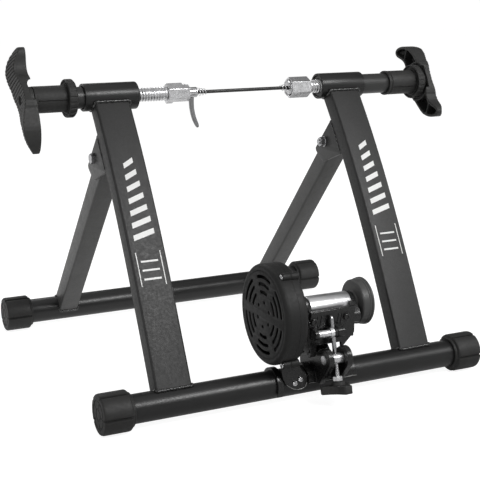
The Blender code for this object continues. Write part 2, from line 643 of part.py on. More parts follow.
def spring(name, x0, x1, r0, r1, wire, turns):
    """A conical coil along X."""
    cu = bpy.data.curves.new(name, "CURVE")
    cu.dimensions = "3D"
    cu.bevel_depth = wire / 2 * MM
    cu.bevel_resolution = 1
    cu.use_fill_caps = True
    n = int(turns * 9)
    sp = cu.splines.new("POLY")
    sp.points.add(n)
    for i, p in enumerate(sp.points):
        t = i / n
        a = 2 * math.pi * turns * t
        r = r0 + (r1 - r0) * t
        p.co = ((x1 - x0) * t * MM, r * math.cos(a) * MM, r * math.sin(a) * MM, 1.0)
    o = bpy.data.objects.new(name, cu)
    put(o, W(x0, *AXIS), UPRIGHT)
    return to_mesh(o, ZINC)


spring("skewer_spring_left", -49.2, -35.0, 6.2, 3.7, 1.0, 3)
spring("skewer_spring_right", 85.4, 97.0, 3.7, 6.2, 1.0, 2.5)

# ---------------------------------------------------------------- bracket that carries the roller unit on the tube
EAR_L, EAR_R = (14.0, 22.0), (42.0, 50.0)
TUBE_AX = (0.0, FOOT_R)
ear = star(TUBE_AX, hull((LOW_Y, LOW_Z, 15.5), (0.0, FOOT_R, 22.6), n=20),
           hull((HINGE_Y, HINGE_Z, 9.0), (0.0, FOOT_R, 21.6), n=20))
bracket_o = ring("unit_bracket", 2.4, 77.0, 22.6, 0, TUBE_AX, CAST, 36)
for n, (a, b) in (("l", EAR_L), ("r", EAR_R)):
    join(bracket_o, plate_yz("ear_" + n, ear, a, b, cutter=True))
cut(bracket_o,
    block("bracket_open_side", (-2, 90), (-60, 60), (-10, 27.9), cutter=True),
    ring("bracket_bore", -60.0, 90.0, BAR_R + GAP, 0, TUBE_AX, steps=36, cutter=True),
    rod("bracket_low_hole", 6.6, (0, LOW_Y, LOW_Z), (60, LOW_Y, LOW_Z), seg=20, cutter=True),
    rod("bracket_hinge_hole", 4.3, (0, HINGE_Y, HINGE_Z), (60, HINGE_Y, HINGE_Z), seg=20, cutter=True))
rod("unit_hinge_pin", 4.0, (11.0, HINGE_Y, HINGE_Z), (53.0, HINGE_Y, HINGE_Z), ZINC)

# side plate with a collar round the tube, held by two screws
side_pts = [(-38.8, 56.6), (-17.4, 60.0), (-10.7, 51.6), (-3.6, 40.9), (-1.6, 36.8), (-1.2, 30.6), (-3.2, 25.4), (-7.6, 22.9),
            (-14, 22.4), (-20.7, 24.0), (-28.8, 29.0), (-33.5, 33.4), (-37.0, 40.4), (-39.4, 50.4)]
side_plate = plate("clamp_plate", side_pts, 3.4, W(0, -21.4, 0), TO_XZ, CAST)
join(side_plate, ring("clamp_collar", -44.0, -36.0, 23.1, 0, TUBE_AX, steps=28, cutter=True))
cut(side_plate, block("clamp_open_side", (-46, 2), (-19.4, 60), (-10, 27.9), cutter=True))
SCREWS = ((-19.6, 32.3), (-11.3, 36.8))
for i, (x, z) in enumerate(SCREWS):
    cut(side_plate, rod(f"clamp_plate_hole{i}", 2.3, (x, -26, z), (x, -15, z), seg=16, cutter=True))
cut(side_plate, ring("clamp_collar_bore", -60.0, 60.0, BAR_R + GAP, 0, TUBE_AX, steps=28, cutter=True))
for n, (x, z) in zip(("lower", "upper"), SCREWS):
    rotm = Matrix(((1, 0, 0), (0, 0, -1), (0, 1, 0)))
    s = turned(f"clamp_screw_{n}", [(-2.9, 2.0), (0.2, 2.0), (0.25, 3.8), (1.4, 3.6), (2.6, 2.2), (2.9, 0.6)],
               W(x, -23.2, z), CHROME, rot=rotm, steps=14)

# ---------------------------------------------------------------- roller unit: casting, housing, rotor
yoke_end = hull((UNIT_Y, UNIT_Z, 16.5), (-13.0, 108.0, 9.5), (-14.0, 76.0, 8.0), (22.0, 84.0, 8.0), n=16)
yoke = plate_yz("roller_yoke", yoke_end, 2.0, 12.6, CAST, (HINGE_Y, HINGE_Z))
right_end = hull((UNIT_Y, UNIT_Z, 16.5), (-11.0, 110.0, 9.5), (22.0, 98.0, 8.0), n=16)
front = [(3.6, 64.0), (12.4, 64.6), (13.4, 79.6), (51.0, 79.6), (52.1, 71.5), (55.0, 74.2), (71.4, 90.6),
         (71.4, 127.6), (3.6, 126.0)]
join(yoke,
     plate_yz("yoke_right", right_end, 71.0, 82.6, cutter=True),
     plate("yoke_front", front, 5.0, W(0, -19.5, 0), TO_XZ, cutter=True),
     block("yoke_floor", (4.4, 71.2), (-20.3, 24.6), (84.6, 91.7), cutter=True),
     block("yoke_back", (5.2, 76.9), (23.1, 28.1), (86.1, 104.3), cutter=True),
     plate_yz("yoke_knuckle", hull((HINGE_Y, HINGE_Z, 8.6), (12.0, 82.0, 9.0), n=16), 23.0, 41.0, cutter=True),
     plate_yz("yoke_lug_left", hull((UPP_Y, UPP_Z, 7.6), (-18.4, 98.0, 8.6), n=14), 2.8, 8.0, cutter=True),
     plate_yz("yoke_lug_right", hull((UPP_Y, UPP_Z, 7.6), (-18.4, 98.0, 8.6), n=14), 37.4, 47.4, cutter=True),
     ring("yoke_disc", -17.6, 6.6, 22.5, 0, (UNIT_Y, UNIT_Z), cutter=True))
cut(yoke,
    ring("yoke_roller_pocket", 69.0, 77.0, ROLLER_R + 1.0, 0, (UNIT_Y, UNIT_Z), steps=36, cutter=True),
    ring("yoke_bearing_bore", -30.0, 100.0, 11.35, 0, (UNIT_Y, UNIT_Z), steps=28, cutter=True),
    rod("yoke_pin_hole", 4.3, (0, HINGE_Y, HINGE_Z), (60, HINGE_Y, HINGE_Z), seg=20, cutter=True),
    rod("yoke_trunnion_hole", 5.3, (3.6, UPP_Y, UPP_Z), (60, UPP_Y, UPP_Z), seg=20, cutter=True))

UAX = (UNIT_Y, UNIT_Z)
BOSSES = (121.0, 236.0)
BOSS_AT = {121.0: 68.5, 236.0: 71.0}


cover = turned("housing_cover",
               [(-50.2, 58.6), (-50.2, 62.4), (-49.4, 65.4), (-47.2, 67.4), (-44.2, 68.0), (-31.2, 68.0)],
               W(0, *UAX), PLASTIC, [(-47.6, 58.6), (-47.4, 61.4), (-46.0, 64.4), (-43.6, 65.4), (-31.2, 65.4)],
               steps=36)


def slot(r, half, centre, width):
    """Outline of a curved slot with blunt round ends."""
    n = 3 if r > 20 else 1
    e = math.degrees(width * 0.28 / r)
    a0, a1 = centre - half, centre + half
    return (arc(*UAX, r + width / 2, a0 + e, a1 - e, n) + [arc(*UAX, r, a1, a1, 1)[0]]
            + arc(*UAX, r - width / 2, a1 - e, a0 + e, n) + [arc(*UAX, r, a0, a0, 1)[0]])


vents = [slot(r, half, 90 + 60 * k + turn, w) for r, half, turn, w in
         ((51.0, 22.5, 0, 4.6), (41.0, 21.5, 0, 4.6), (30.5, 20.0, 0, 4.6), (17.0, 10.0, 6, 4.2)) for k in range(6)]
join(cover, plate_yz("cover_face", circle(*UAX, 59.6, 36), -50.0, -47.8, holes=vents, cutter=True))


def boss_yz(a):
    r = BOSS_AT[a]
    return (UNIT_Y + r * math.cos(math.radians(a)), UNIT_Z + r * math.sin(math.radians(a)))


back = turned("housing_back", [(-30.9, 68.0), (-23.0, 68.0), (-19.4, 66.0), (-18.0, 62.0)], W(0, *UAX), PLASTIC,
              [(-30.9, 65.4), (-21.2, 61.0), (-21.0, 14.0), (-18.0, 14.0)], steps=40)
for a in BOSSES:
    yz = boss_yz(a)
    join(cover, ring(f"cover_boss{int(a)}", -42.4, -31.5, 5.6, 0, yz, steps=16, cutter=True))
    join(back, ring(f"back_boss{int(a)}", -30.6, -19.0, 5.6, 0, yz, steps=16, cutter=True))
for a in BOSSES:
    yz = boss_yz(a)
    cut(cover, rod(f"cover_screw_hole{int(a)}", 2.3, (-43, *yz), (-25, *yz), seg=12, cutter=True),
        rod(f"cover_screw_seat{int(a)}", 4.5, (-60, *yz), (-42.0, *yz), seg=16, cutter=True))
    cut(back, rod(f"back_screw_hole{int(a)}", 2.3, (-40, *yz), (-22, *yz), seg=12, cutter=True))
for n, a in zip(("upper", "lower"), BOSSES):
    turned(f"housing_screw_{n}", [(-45.2, 1.0), (-44.8, 2.8), (-42.35, 3.9), (-42.3, 2.0), (-24.0, 2.0)],
           W(0, *boss_yz(a)), CHROME, steps=16)

turned("magnet_ring", [(-31.0, 55.0), (-23.9, 55.0)], W(0, *UAX), MAGNET, [(-31.0, 34.0), (-23.9, 34.0)], steps=24)
for label, x in (("left", 5.0), ("right", 77.3)):
    ring(label + "_bearing", x, x + 5.0, 11.0, 4.3, UAX, STEEL, 24)

# turning group: axle, roller, brake disc, flywheel
ring("roller_axle", -44.0, 101.6, 4.0, 0, UAX, STEEL, 24)
ring("roller", 13.3, 76.4, ROLLER_R, 4.3, UAX, STEEL, 36, ch=0.6)
turned("brake_disc", [(-42.0, 10.0), (-38.4, 10.0), (-38.3, 57.0), (-35.3, 57.0), (-35.2, 10.0), (-33.0, 10.0)],
       W(0, *UAX), DARK_STEEL, [(-42.0, 4.3), (-33.0, 4.3)], steps=24)
turned("flywheel", [(83.4, 15.0), (86.0, 16.0), (86.2, 29.6), (89.0, 30.8), (89.6, 32.0), (91.0, 32.8), (101.8, 32.8), (103.4, 31.4)],
       W(0, *UAX), CAST, [(83.4, 4.3), (103.4, 4.3)], steps=32)

# ---------------------------------------------------------------- tension bolt between the trunnions
BOLT = Vector((UPP_Y - LOW_Y, UPP_Z - LOW_Z)).normalized()


def on_bolt(d):
    """Point of the bolt's axis, d above the lower trunnion."""
    return (BOLT_X, LOW_Y + BOLT.x * d, LOW_Z + BOLT.y * d)


lower = rod("lower_trunnion", 7.2, (22.6, LOW_Y, LOW_Z), (41.4, LOW_Y, LOW_Z), ZINC, 20)
join(lower, rod("lower_trunnion_journal", 6.2, (13.4, LOW_Y, LOW_Z), (50.6, LOW_Y, LOW_Z), seg=20, cutter=True))
cut(lower, rod("lower_trunnion_hole", BOLT_R + 0.5, on_bolt(-20), on_bolt(20), seg=16, cutter=True))
upper = rod("upper_trunnion", 7.0, (26.4, UPP_Y, UPP_Z), (37.0, UPP_Y, UPP_Z), ZINC, 20)
join(upper, rod("upper_trunnion_journal", 4.9, (4.2, UPP_Y, UPP_Z), (46.8, UPP_Y, UPP_Z), seg=20, cutter=True))
cut(upper, rod("upper_trunnion_hole", BOLT_R + 0.5, on_bolt(20), on_bolt(50), seg=16, cutter=True))
rod("tension_bolt", BOLT_R, on_bolt(-44.4), on_bolt(56.8), ZINC, 16)
bolt_rot = Matrix(((1, 0, 0), (0, BOLT.y, BOLT.x), (0, -BOLT.x, BOLT.y)))   # local Z along the bolt
lobes = []
for k in range(3):
    base = 34 + 120 * k
    for a, r in ((-60, 13.6), (-35, 15.6), (-17, 22.6), (-12, 24.6), (12, 24.6), (17, 22.6), (35, 15.6)):
        lobes.append((r * math.cos(math.radians(base + a)), r * math.sin(math.radians(base + a))))
knob = plate("tension_knob", lobes, 11.0, W(*on_bolt(-40.6)), bolt_rot, PLASTIC)
join(knob, rod("tension_knob_hub", 9.6, on_bolt(-39.0), on_bolt(-30.4), seg=20, cutter=True))
cut(knob, rod("tension_knob_bore", BOLT_R + GAP, on_bolt(-44.7), on_bolt(-20), seg=16, cutter=True))
nut = plate("tension_nut", hexagon(12.0), 6.0, W(*on_bolt(-26.6)), bolt_rot, ZINC)
cut(nut, rod("tension_nut_bore", BOLT_R + GAP, on_bolt(-60), on_bolt(-10), seg=16, cutter=True))

bpy.context.view_layer.update()
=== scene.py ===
"""Looks for the wheel-on bike trainer: finer meshes, materials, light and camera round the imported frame."""
import math

import bmesh
import bpy
from mathutils import Matrix, Vector, noise


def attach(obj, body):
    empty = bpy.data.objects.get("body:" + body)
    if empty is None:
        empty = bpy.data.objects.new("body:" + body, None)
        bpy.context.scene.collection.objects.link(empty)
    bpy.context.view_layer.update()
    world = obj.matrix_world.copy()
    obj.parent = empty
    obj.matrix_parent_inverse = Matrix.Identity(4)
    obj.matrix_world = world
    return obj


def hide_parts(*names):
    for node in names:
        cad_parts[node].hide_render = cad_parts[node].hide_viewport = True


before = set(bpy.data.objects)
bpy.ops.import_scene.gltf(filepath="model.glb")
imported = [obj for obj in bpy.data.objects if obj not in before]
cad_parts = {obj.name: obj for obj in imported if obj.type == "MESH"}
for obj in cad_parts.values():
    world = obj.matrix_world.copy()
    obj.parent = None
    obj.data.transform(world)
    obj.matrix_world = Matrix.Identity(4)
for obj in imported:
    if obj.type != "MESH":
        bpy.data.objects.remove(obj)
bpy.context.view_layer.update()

MM = 0.001
ORIGIN = (18.05, 207.875, 0.0)
BAR_R, FOOT_R, TRACK = 19.0, 26.7, 464.0
AXLE = (221.7, 395.3)
PIVOT = (216.0, 311.5)
UNIT = (10.0, 122.0)
HINGE = (18.0, 61.0)
LOW, UPP, BOLT_X, BOLT_R = (-40.0, 64.5), (-31.5, 98.0), 32.0, 3.0
TUBE = (0.0, FOOT_R)


# ---------------------------------------------------------------- materials
def node(nt, kind, **sockets):
    n = nt.nodes.new(kind)
    for k, v in sockets.items():
        n.inputs[k.replace("_", " ")].default_value = v
    return n


def finish(name, colour, rough, metal=0.0, mottle=0.12, mottle_scale=45.0, rough_var=0.06, grain=0.0,
           grain_scale=1500.0, ripple=0.0, ripple_scale=120.0, stretch=None, coat=0.0, coat_rough=0.08,
           specular=0.5, specks=0.0, specks_scale=2600.0, speck_colour=(0.25, 0.25, 0.25), dust=0.0):
    """A procedural finish: colour that drifts a little, uneven gloss, fine grain and a slow surface ripple."""
    m = bpy.data.materials.new(name)
    m.use_nodes = True
    nt = m.node_tree
    b = nt.nodes["Principled BSDF"]
    b.inputs["Metallic"].default_value = metal
    b.inputs["Specular IOR Level"].default_value = specular
    b.inputs["Coat Weight"].default_value = coat
    b.inputs["Coat Roughness"].default_value = coat_rough
    tc = nt.nodes.new("ShaderNodeTexCoord")
    mp = nt.nodes.new("ShaderNodeMapping")
    mp.inputs["Scale"].default_value = stretch or (1.0, 1.0, 1.0)
    nt.links.new(tc.outputs["Object"], mp.inputs["Vector"])

    def noise_node(scale, detail, rough_=0.55, mapped=False):
        n = nt.nodes.new("ShaderNodeTexNoise")
        n.inputs["Scale"].default_value = scale
        n.inputs["Detail"].default_value = detail
        n.inputs["Roughness"].default_value = rough_
        nt.links.new((mp if mapped else tc).outputs["Vector" if mapped else "Object"], n.inputs["Vector"])
        return n.outputs["Fac"]

    def spread(fac, lo, hi, a=0.35, z=0.65):
        r = nt.nodes.new("ShaderNodeMapRange")
        r.inputs["From Min"].default_value, r.inputs["From Max"].default_value = a, z
        r.inputs["To Min"].default_value, r.inputs["To Max"].default_value = lo, hi
        nt.links.new(fac, r.inputs["Value"])
        return r.outputs["Result"]

    slow = noise_node(mottle_scale, 3.0)
    mix = nt.nodes.new("ShaderNodeMix")
    mix.data_type = "RGBA"
    mix.inputs["A"].default_value = (*[c * (1 - mottle) for c in colour], 1)
    mix.inputs["B"].default_value = (*[min(1, c * (1 + mottle)) for c in colour], 1)
    nt.links.new(spread(slow, 0, 1), mix.inputs["Factor"])
    col = mix.outputs["Result"]
    if specks:
        dots = noise_node(specks_scale, 1.0)
        mx = nt.nodes.new("ShaderNodeMix")
        mx.data_type = "RGBA"
        mx.inputs["B"].default_value = (*speck_colour, 1)
        nt.links.new(col, mx.inputs["A"])
        nt.links.new(spread(dots, 0, specks, 0.6, 0.75), mx.inputs["Factor"])
        col = mx.outputs["Result"]
    if dust:
        up = nt.nodes.new("ShaderNodeNewGeometry")
        sep = nt.nodes.new("ShaderNodeSeparateXYZ")
        nt.links.new(up.outputs["Normal"], sep.inputs["Vector"])
        mx = nt.nodes.new("ShaderNodeMix")
        mx.data_type = "RGBA"
        mx.inputs["B"].default_value = (0.30, 0.29, 0.27, 1)
        nt.links.new(col, mx.inputs["A"])
        nt.links.new(spread(sep.outputs["Z"], 0, dust, 0.2, 1.0), mx.inputs["Factor"])
        col = mx.outputs["Result"]
    nt.links.new(col, b.inputs["Base Color"])
    fine = noise_node(mottle_scale * 6, 4.0, mapped=True)
    nt.links.new(spread(fine, max(0.02, rough - rough_var), rough + rough_var), b.inputs["Roughness"])
    normal = None
    for strength, scale, dist, mapped in ((ripple, ripple_scale, 0.0006, False), (grain, grain_scale, 0.00012, True)):
        if strength:
            bp = nt.nodes.new("ShaderNodeBump")
            bp.inputs["Strength"].default_value = strength
            bp.inputs["Distance"].default_value = dist
            nt.links.new(noise_node(scale, 3.0, mapped=mapped), bp.inputs["Height"])
            if normal:
                nt.links.new(normal, bp.inputs["Normal"])
            normal = bp.outputs["Normal"]
    if normal:
        nt.links.new(normal, b.inputs["Normal"])
    return m


GLOSS = finish("gloss_black_paint", (0.008, 0.008, 0.008), 0.36, mottle=0.1, rough_var=0.03, ripple=0.02,
               ripple_scale=90, grain=0.012, grain_scale=900, coat=0.0)
SATIN = finish("satin_black_paint", (0.009, 0.00895, 0.0087), 0.50, mottle=0.10, rough_var=0.06, ripple=0.05,
               ripple_scale=260, grain=0.28, grain_scale=2400, specks=0.10)
LEGS = finish("leg_black_paint", (0.056, 0.0557, 0.0545), 0.42, mottle=0.10, rough_var=0.06, ripple=0.05,
               ripple_scale=260, grain=0.28, grain_scale=2400, specks=0.10)
BRACKET = finish("bracket_black_paint", (0.022, 0.022, 0.0215), 0.36, mottle=0.10, rough_var=0.06, grain=0.2,
                 grain_scale=2400)
WELD = finish("painted_weld", (0.014, 0.014, 0.014), 0.24, mottle=0.1, rough_var=0.05, ripple=0.35, ripple_scale=500,
              coat=0.5, coat_rough=0.1)
RUBBER = finish("black_rubber", (0.017, 0.0168, 0.0163), 0.56, mottle=0.12, rough_var=0.06, grain=0.4,
                grain_scale=1700, specular=0.4)
PLASTIC = finish("black_plastic", (0.020, 0.0198, 0.0191), 0.6, mottle=0.08, rough_var=0.06, grain=0.45,
                 grain_scale=2200, specular=0.45)
GRIP = finish("grip_plastic", (0.020, 0.0198, 0.0191), 0.6, mottle=0.08, rough_var=0.06, grain=0.45,
                 grain_scale=2200, specular=0.45)
# the grooves across the grips' faces are duller than the ribs between them, and their colour is darkened as painted
# shade in the grooves
_g = GRIP.node_tree
_p = next(n for n in _g.nodes if n.type == "BSDF_PRINCIPLED")
_a = _g.nodes.new("ShaderNodeAttribute")
_a.attribute_name = "groove"
_c = _g.nodes.new("ShaderNodeMixRGB")
_c.blend_type = "MIX"
_c.use_clamp = True
_was = _p.inputs["Base Color"].links
if _was:
    _g.links.new(_was[0].from_socket, _c.inputs["Color1"])
else:
    _c.inputs["Color1"].default_value = _p.inputs["Base Color"].default_value
_c.inputs["Color2"].default_value = (0.0015, 0.0015, 0.0015, 1)
_g.links.new(_a.outputs["Fac"], _c.inputs["Fac"])
# the ribs, where the attribute is negative, are painted paler than the rest of the grip: a painted highlight on the
# ribs
_n = _g.nodes.new("ShaderNodeMath")
_n.operation = "MULTIPLY"
_n.inputs[1].default_value = -1.0
_g.links.new(_a.outputs["Fac"], _n.inputs[0])
_r = _g.nodes.new("ShaderNodeMixRGB")
_r.inputs["Color2"].default_value = (0.062, 0.0615, 0.060, 1)
_g.links.new(_n.outputs["Value"], _r.inputs["Fac"])
if _was:
    _g.links.new(_was[0].from_socket, _r.inputs["Color1"])
    _g.links.new(_r.outputs["Color"], _c.inputs["Color1"])
_g.links.new(_c.outputs["Color"], _p.inputs["Base Color"])
_m = _g.nodes.new("ShaderNodeMapRange")
_m.inputs["To Min"].default_value, _m.inputs["To Max"].default_value = 0.5, 0.05
_g.links.new(_a.outputs["Fac"], _m.inputs["Value"])
_g.links.new(_m.outputs["Result"], _p.inputs["Specular IOR Level"])
HOUSING = finish("housing_plastic", (0.006, 0.006, 0.0058), 0.58, mottle=0.10, rough_var=0.06, grain=0.5,
                 grain_scale=2000, specular=0.42)
NYLON = finish("dark_nylon", (0.028, 0.028, 0.0275), 0.4, mottle=0.08, rough_var=0.05, ripple=0.08, ripple_scale=300,
               specular=0.5)
ZINC = finish("zinc_plate", (0.80, 0.80, 0.81), 0.33, 1.0, mottle=0.12, mottle_scale=120, rough_var=0.08,
              grain=0.1, grain_scale=900)
BOLT_STEEL = finish("bolt_steel", (0.50, 0.50, 0.51), 0.28, 1.0, mottle=0.12, mottle_scale=140, rough_var=0.08,
                    grain=0.1, grain_scale=900)
TURNED = finish("turned_steel", (0.80, 0.80, 0.81), 0.33, 1.0, mottle=0.04, mottle_scale=60, rough_var=0.04,
                grain=0.05, grain_scale=900, stretch=(6.0, 0.3, 0.3))
CHROME = finish("chrome", (0.70, 0.70, 0.71), 0.08, 1.0, mottle=0.05, mottle_scale=150, rough_var=0.03, ripple=0.04,
                ripple_scale=220)
LEVER = finish("cast_lever", (0.34, 0.34, 0.345), 0.34, 1.0, mottle=0.08, mottle_scale=140, rough_var=0.06, grain=0.06,
               grain_scale=900)
CAST = finish("black_casting", (0.006, 0.006, 0.006), 0.3, mottle=0.18, mottle_scale=90, rough_var=0.06, ripple=0.10,
              ripple_scale=380, grain=0.08, grain_scale=1500, coat=0.2, coat_rough=0.2)
# painted highlight: a pale, half-metallic grey for thin beads that stand in for bright glints along the casting's edges
EDGE_HIGHLIGHT = finish("painted_edge_highlight", (0.30, 0.30, 0.295), 0.35, 0.5, mottle=0.2, mottle_scale=200, rough_var=0.08)
WHEEL = finish("flywheel_paint", (0.055, 0.055, 0.054), 0.46, mottle=0.08, rough_var=0.05, grain=0.2,
               grain_scale=1400)
DARKSTEEL = finish("dark_steel", (0.05, 0.05, 0.052), 0.4, 0.8, mottle=0.15, rough_var=0.08, grain=0.1,
                   stretch=(1.0, 1.0, 1.0))
FERRITE = finish("ferrite", (0.04, 0.04, 0.042), 0.6, 0.1, mottle=0.2, mottle_scale=90, rough_var=0.08, grain=0.4)
WHITE = finish("white_print", (0.78, 0.78, 0.77), 0.42, mottle=0.03, rough_var=0.05, grain=0.15, grain_scale=2400)


# ---------------------------------------------------------------- mesh helpers
def W(x, y, z):
    return Vector(((x - ORIGIN[0]) * MM, (y - ORIGIN[1]) * MM, (z - ORIGIN[2]) * MM))


def add(name, bm, mat, body, nodes=(), angle=32.0, flip=False):
    """Makes an object of bm, whose vertices are in millimetres in the design frame."""
    for v in bm.verts:
        v.co = W(*v.co)
    bmesh.ops.recalc_face_normals(bm, faces=bm.faces)
    lim = math.radians(angle)
    for f in bm.faces:
        f.smooth = True
    for e in bm.edges:
        e.smooth = not (len(e.link_faces) == 2 and e.calc_face_angle(0.0) > lim)
    me = bpy.data.meshes.new(name)
    bm.to_mesh(me)
    bm.free()
    return place(bpy.data.objects.new(name, me), mat, body, nodes)


def place(o, mat, body, nodes=()):
    if o.name not in bpy.context.scene.collection.objects:
        bpy.context.scene.collection.objects.link(o)
    o.data.materials.clear()
    for m in (mat if isinstance(mat, (list, tuple)) else [mat]):
        o.data.materials.append(m)
    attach(o, body)
    if nodes:
        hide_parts(*nodes)
    return o


def fillet(pts, r, closed=False, n=3):
    """Rounds the corners of a 2D line by r, with n steps each."""
    out = []
    k = len(pts)
    for i, p in enumerate(pts):
        if not closed and i in (0, k - 1):
            out.append(tuple(p))
            continue
        a, b, c = Vector(pts[i - 1]), Vector(p), Vector(pts[(i + 1) % k])
        u, v = a - b, c - b
        if u.length < 1e-9 or v.length < 1e-9:
            out.append(tuple(p))
            continue
        ang = u.angle(v, math.pi)
        rr = r[i] if isinstance(r, (list, tuple)) else r
        if math.pi - ang < 0.15 or rr <= 0:
            out.append(tuple(p))
            continue
        d = min(rr / math.tan(ang / 2) if ang > 0.05 else rr, 0.45 * u.length, 0.45 * v.length)
        s, e = b + u.normalized() * d, b + v.normalized() * d
        for j in range(n + 1):
            t = j / n
            q = s * (1 - t) ** 2 + b * 2 * t * (1 - t) + e * t * t
            out.append((q.x, q.y))
    return out


def spin(bm, prof, centre, seg=64, closed=True, mod=None, axis=None):
    """Turns (position, radius) points about an X line through centre (y, z), or about axis (point, direction)."""
    rings = []
    if axis:
        p0, d = Vector(axis[0]), Vector(axis[1]).normalized()
        e1 = Vector((1, 0, 0)) if abs(d.x) < 0.9 else Vector((0, 1, 0))
        e1 = (e1 - d * e1.dot(d)).normalized()
        e2 = d.cross(e1)
    for i, (x, r) in enumerate(prof):
        row = []
        if r < 1e-6:
            co = (p0 + d * x) if axis else Vector((x, *centre))
            v = bm.verts.new(co)
            row = [v] * seg
        else:
            for k in range(seg):
                a = 2 * math.pi * k / seg
                rr = r if mod is None else mod(x, r, a, i)
                if axis:
                    co = p0 + d * x + e1 * (rr * math.cos(a)) + e2 * (rr * math.sin(a))
                else:
                    co = Vector((x, centre[0] + rr * math.cos(a), centre[1] + rr * math.sin(a)))
                row.append(bm.verts.new(co))
        rings.append(row)
    pairs = list(zip(rings, rings[1:])) + ([(rings[-1], rings[0])] if closed else [])
    for a, b in pairs:
        for k in range(seg):
            q = [a[k], a[(k + 1) % seg], b[(k + 1) % seg], b[k]]
            q = [v for j, v in enumerate(q) if v not in q[:j]]
            if len(q) > 2:
                try:
                    bm.faces.new(q)
                except ValueError:
                    pass
    return bm


def solid(prof, centre, seg=64, r=0.0, mod=None, bm=None, axis=None):
    """A turned solid, its ends closed on the axis."""
    p = fillet([(prof[0][0], 0.0)] + list(prof) + [(prof[-1][0], 0.0)], r) if r else \
        [(prof[0][0], 0.0)] + list(prof) + [(prof[-1][0], 0.0)]
    return spin(bm or bmesh.new(), p, centre, seg, False, mod, axis)


def pipe(outer, inner, centre, seg=64, r=0.0, mod=None, bm=None, axis=None):
    """A turned ring: the outer points with rising x, then the inner ones back."""
    p = list(outer) + list(inner)[::-1]
    if r:
        p = fillet(p, r, True)
    return spin(bm or bmesh.new(), p, centre, seg, True, mod, axis)


def curve_plate(loops, depth, rnd, res=2):
    """2D loops in millimetres, filled and extruded to depth about zero, edges rounded by rnd; returns a bmesh."""
    cu = bpy.data.curves.new("tmp", "CURVE")
    cu.dimensions = "2D"
    cu.fill_mode = "BOTH"
    cu.extrude = depth / 2 - rnd
    cu.bevel_depth = rnd
    cu.offset = -rnd
    cu.bevel_resolution = res
    for loop in loops:
        sp = cu.splines.new("POLY")
        sp.points.add(len(loop) - 1)
        for p, q in zip(sp.points, loop):
            p.co = (q[0], q[1], 0.0, 1.0)
        sp.use_cyclic_u = True
    o = bpy.data.objects.new("tmp", cu)
    bpy.context.scene.collection.objects.link(o)
    bpy.context.view_layer.update()
    me = bpy.data.meshes.new_from_object(o.evaluated_get(bpy.context.evaluated_depsgraph_get()))
    bm = bmesh.new()
    bm.from_mesh(me)
    bmesh.ops.remove_doubles(bm, verts=bm.verts, dist=0.002)
    bpy.data.objects.remove(o)
    bpy.data.curves.remove(cu)
    bpy.data.meshes.remove(me)
    return bm


def move(bm, m):
    bmesh.ops.transform(bm, matrix=m, verts=bm.verts)
    return bm


def merge(*bms):
    out = bms[0]
    for b in bms[1:]:
        me = bpy.data.meshes.new("tmp")
        b.to_mesh(me)
        b.free()
        out.from_mesh(me)
        bpy.data.meshes.remove(me)
    return out


def yz_plate(loops, x0, x1, rnd=0.5, res=2):
    """Loops given in (y, z), extruded from x0 to x1."""
    m = Matrix(((0, 0, 1, (x0 + x1) / 2), (1, 0, 0, 0), (0, 1, 0, 0), (0, 0, 0, 1)))
    return move(curve_plate(loops, abs(x1 - x0), rnd, res), m)


def xz_plate(loops, y0, y1, rnd=0.5, res=2):
    """Loops given in (x, z), extruded from y0 to y1."""
    m = Matrix(((1, 0, 0, 0), (0, 0, -1, (y0 + y1) / 2), (0, 1, 0, 0), (0, 0, 0, 1)))
    return move(curve_plate(loops, abs(y1 - y0), rnd, res), m)


def tube_line(pts, r, seg=10, closed=False, bm=None, radii=None):
    """A round bead along 3D points."""
    bm = bm or bmesh.new()
    n = len(pts)
    pts = [Vector(p) for p in pts]
    rings = []
    for i, p in enumerate(pts):
        t = (pts[(i + 1) % n] - pts[i - 1]) if closed else (pts[min(i + 1, n - 1)] - pts[max(i - 1, 0)])
        t.normalize()
        u = Vector((1, 0, 0)) if abs(t.x) < 0.8 else Vector((0, 0, 1))
        e1 = (u - t * u.dot(t)).normalized()
        if i and rings:
            prev = (Vector(rings[-1][0].co) - pts[i - 1]).normalized()
            e1 = (prev - t * prev.dot(t)).normalized()
        e2 = t.cross(e1)
        rr = radii[i] if radii else r
        rings.append([bm.verts.new(p + e1 * rr * math.cos(2 * math.pi * k / seg) + e2 * rr * math.sin(2 * math.pi * k / seg))
                      for k in range(seg)])
    pairs = list(zip(rings, rings[1:]))
    for a, b in pairs:
        for k in range(seg):
            bm.faces.new((a[k], a[(k + 1) % seg], b[(k + 1) % seg], b[k]))
    if closed:
        a, b = rings[-1], rings[0]
        off = min(range(seg), key=lambda s: (b[s].co - a[0].co).length)
        for k in range(seg):
            bm.faces.new((a[k], a[(k + 1) % seg], b[(k + 1 + off) % seg], b[(k + off) % seg]))
    else:
        bm.faces.new(rings[0][::-1])
        bm.faces.new(rings[-1])
    return bm


def arc(cx, cy, r, a0, a1, n):
    return [(cx + r * math.cos(math.radians(a0 + (a1 - a0) * i / n)),
             cy + r * math.sin(math.radians(a0 + (a1 - a0) * i / n))) for i in range(n + 1)]


def circle(cx, cy, r, n=40, start=0.0):
    return [(cx + r * math.cos(2 * math.pi * i / n + start), cy + r * math.sin(2 * math.pi * i / n + start))
            for i in range(n)]


def hexagon(af, cx=0.0, cy=0.0):
    return circle(cx, cy, af / 2 / math.cos(math.pi / 6), 6)


def hull(*circles, n=48):
    pts = sorted(set((round(x, 4), round(y, 4)) for c in circles for x, y in circle(*c, n)))

    def half(seq):
        out = []
        for p in seq:
            while len(out) > 1 and ((out[-1][0] - out[-2][0]) * (p[1] - out[-2][1])
                                    - (out[-1][1] - out[-2][1]) * (p[0] - out[-2][0])) <= 1e-9:
                out.pop()
            out.append(p)
        return out[:-1]
    return half(pts) + half(pts[::-1])


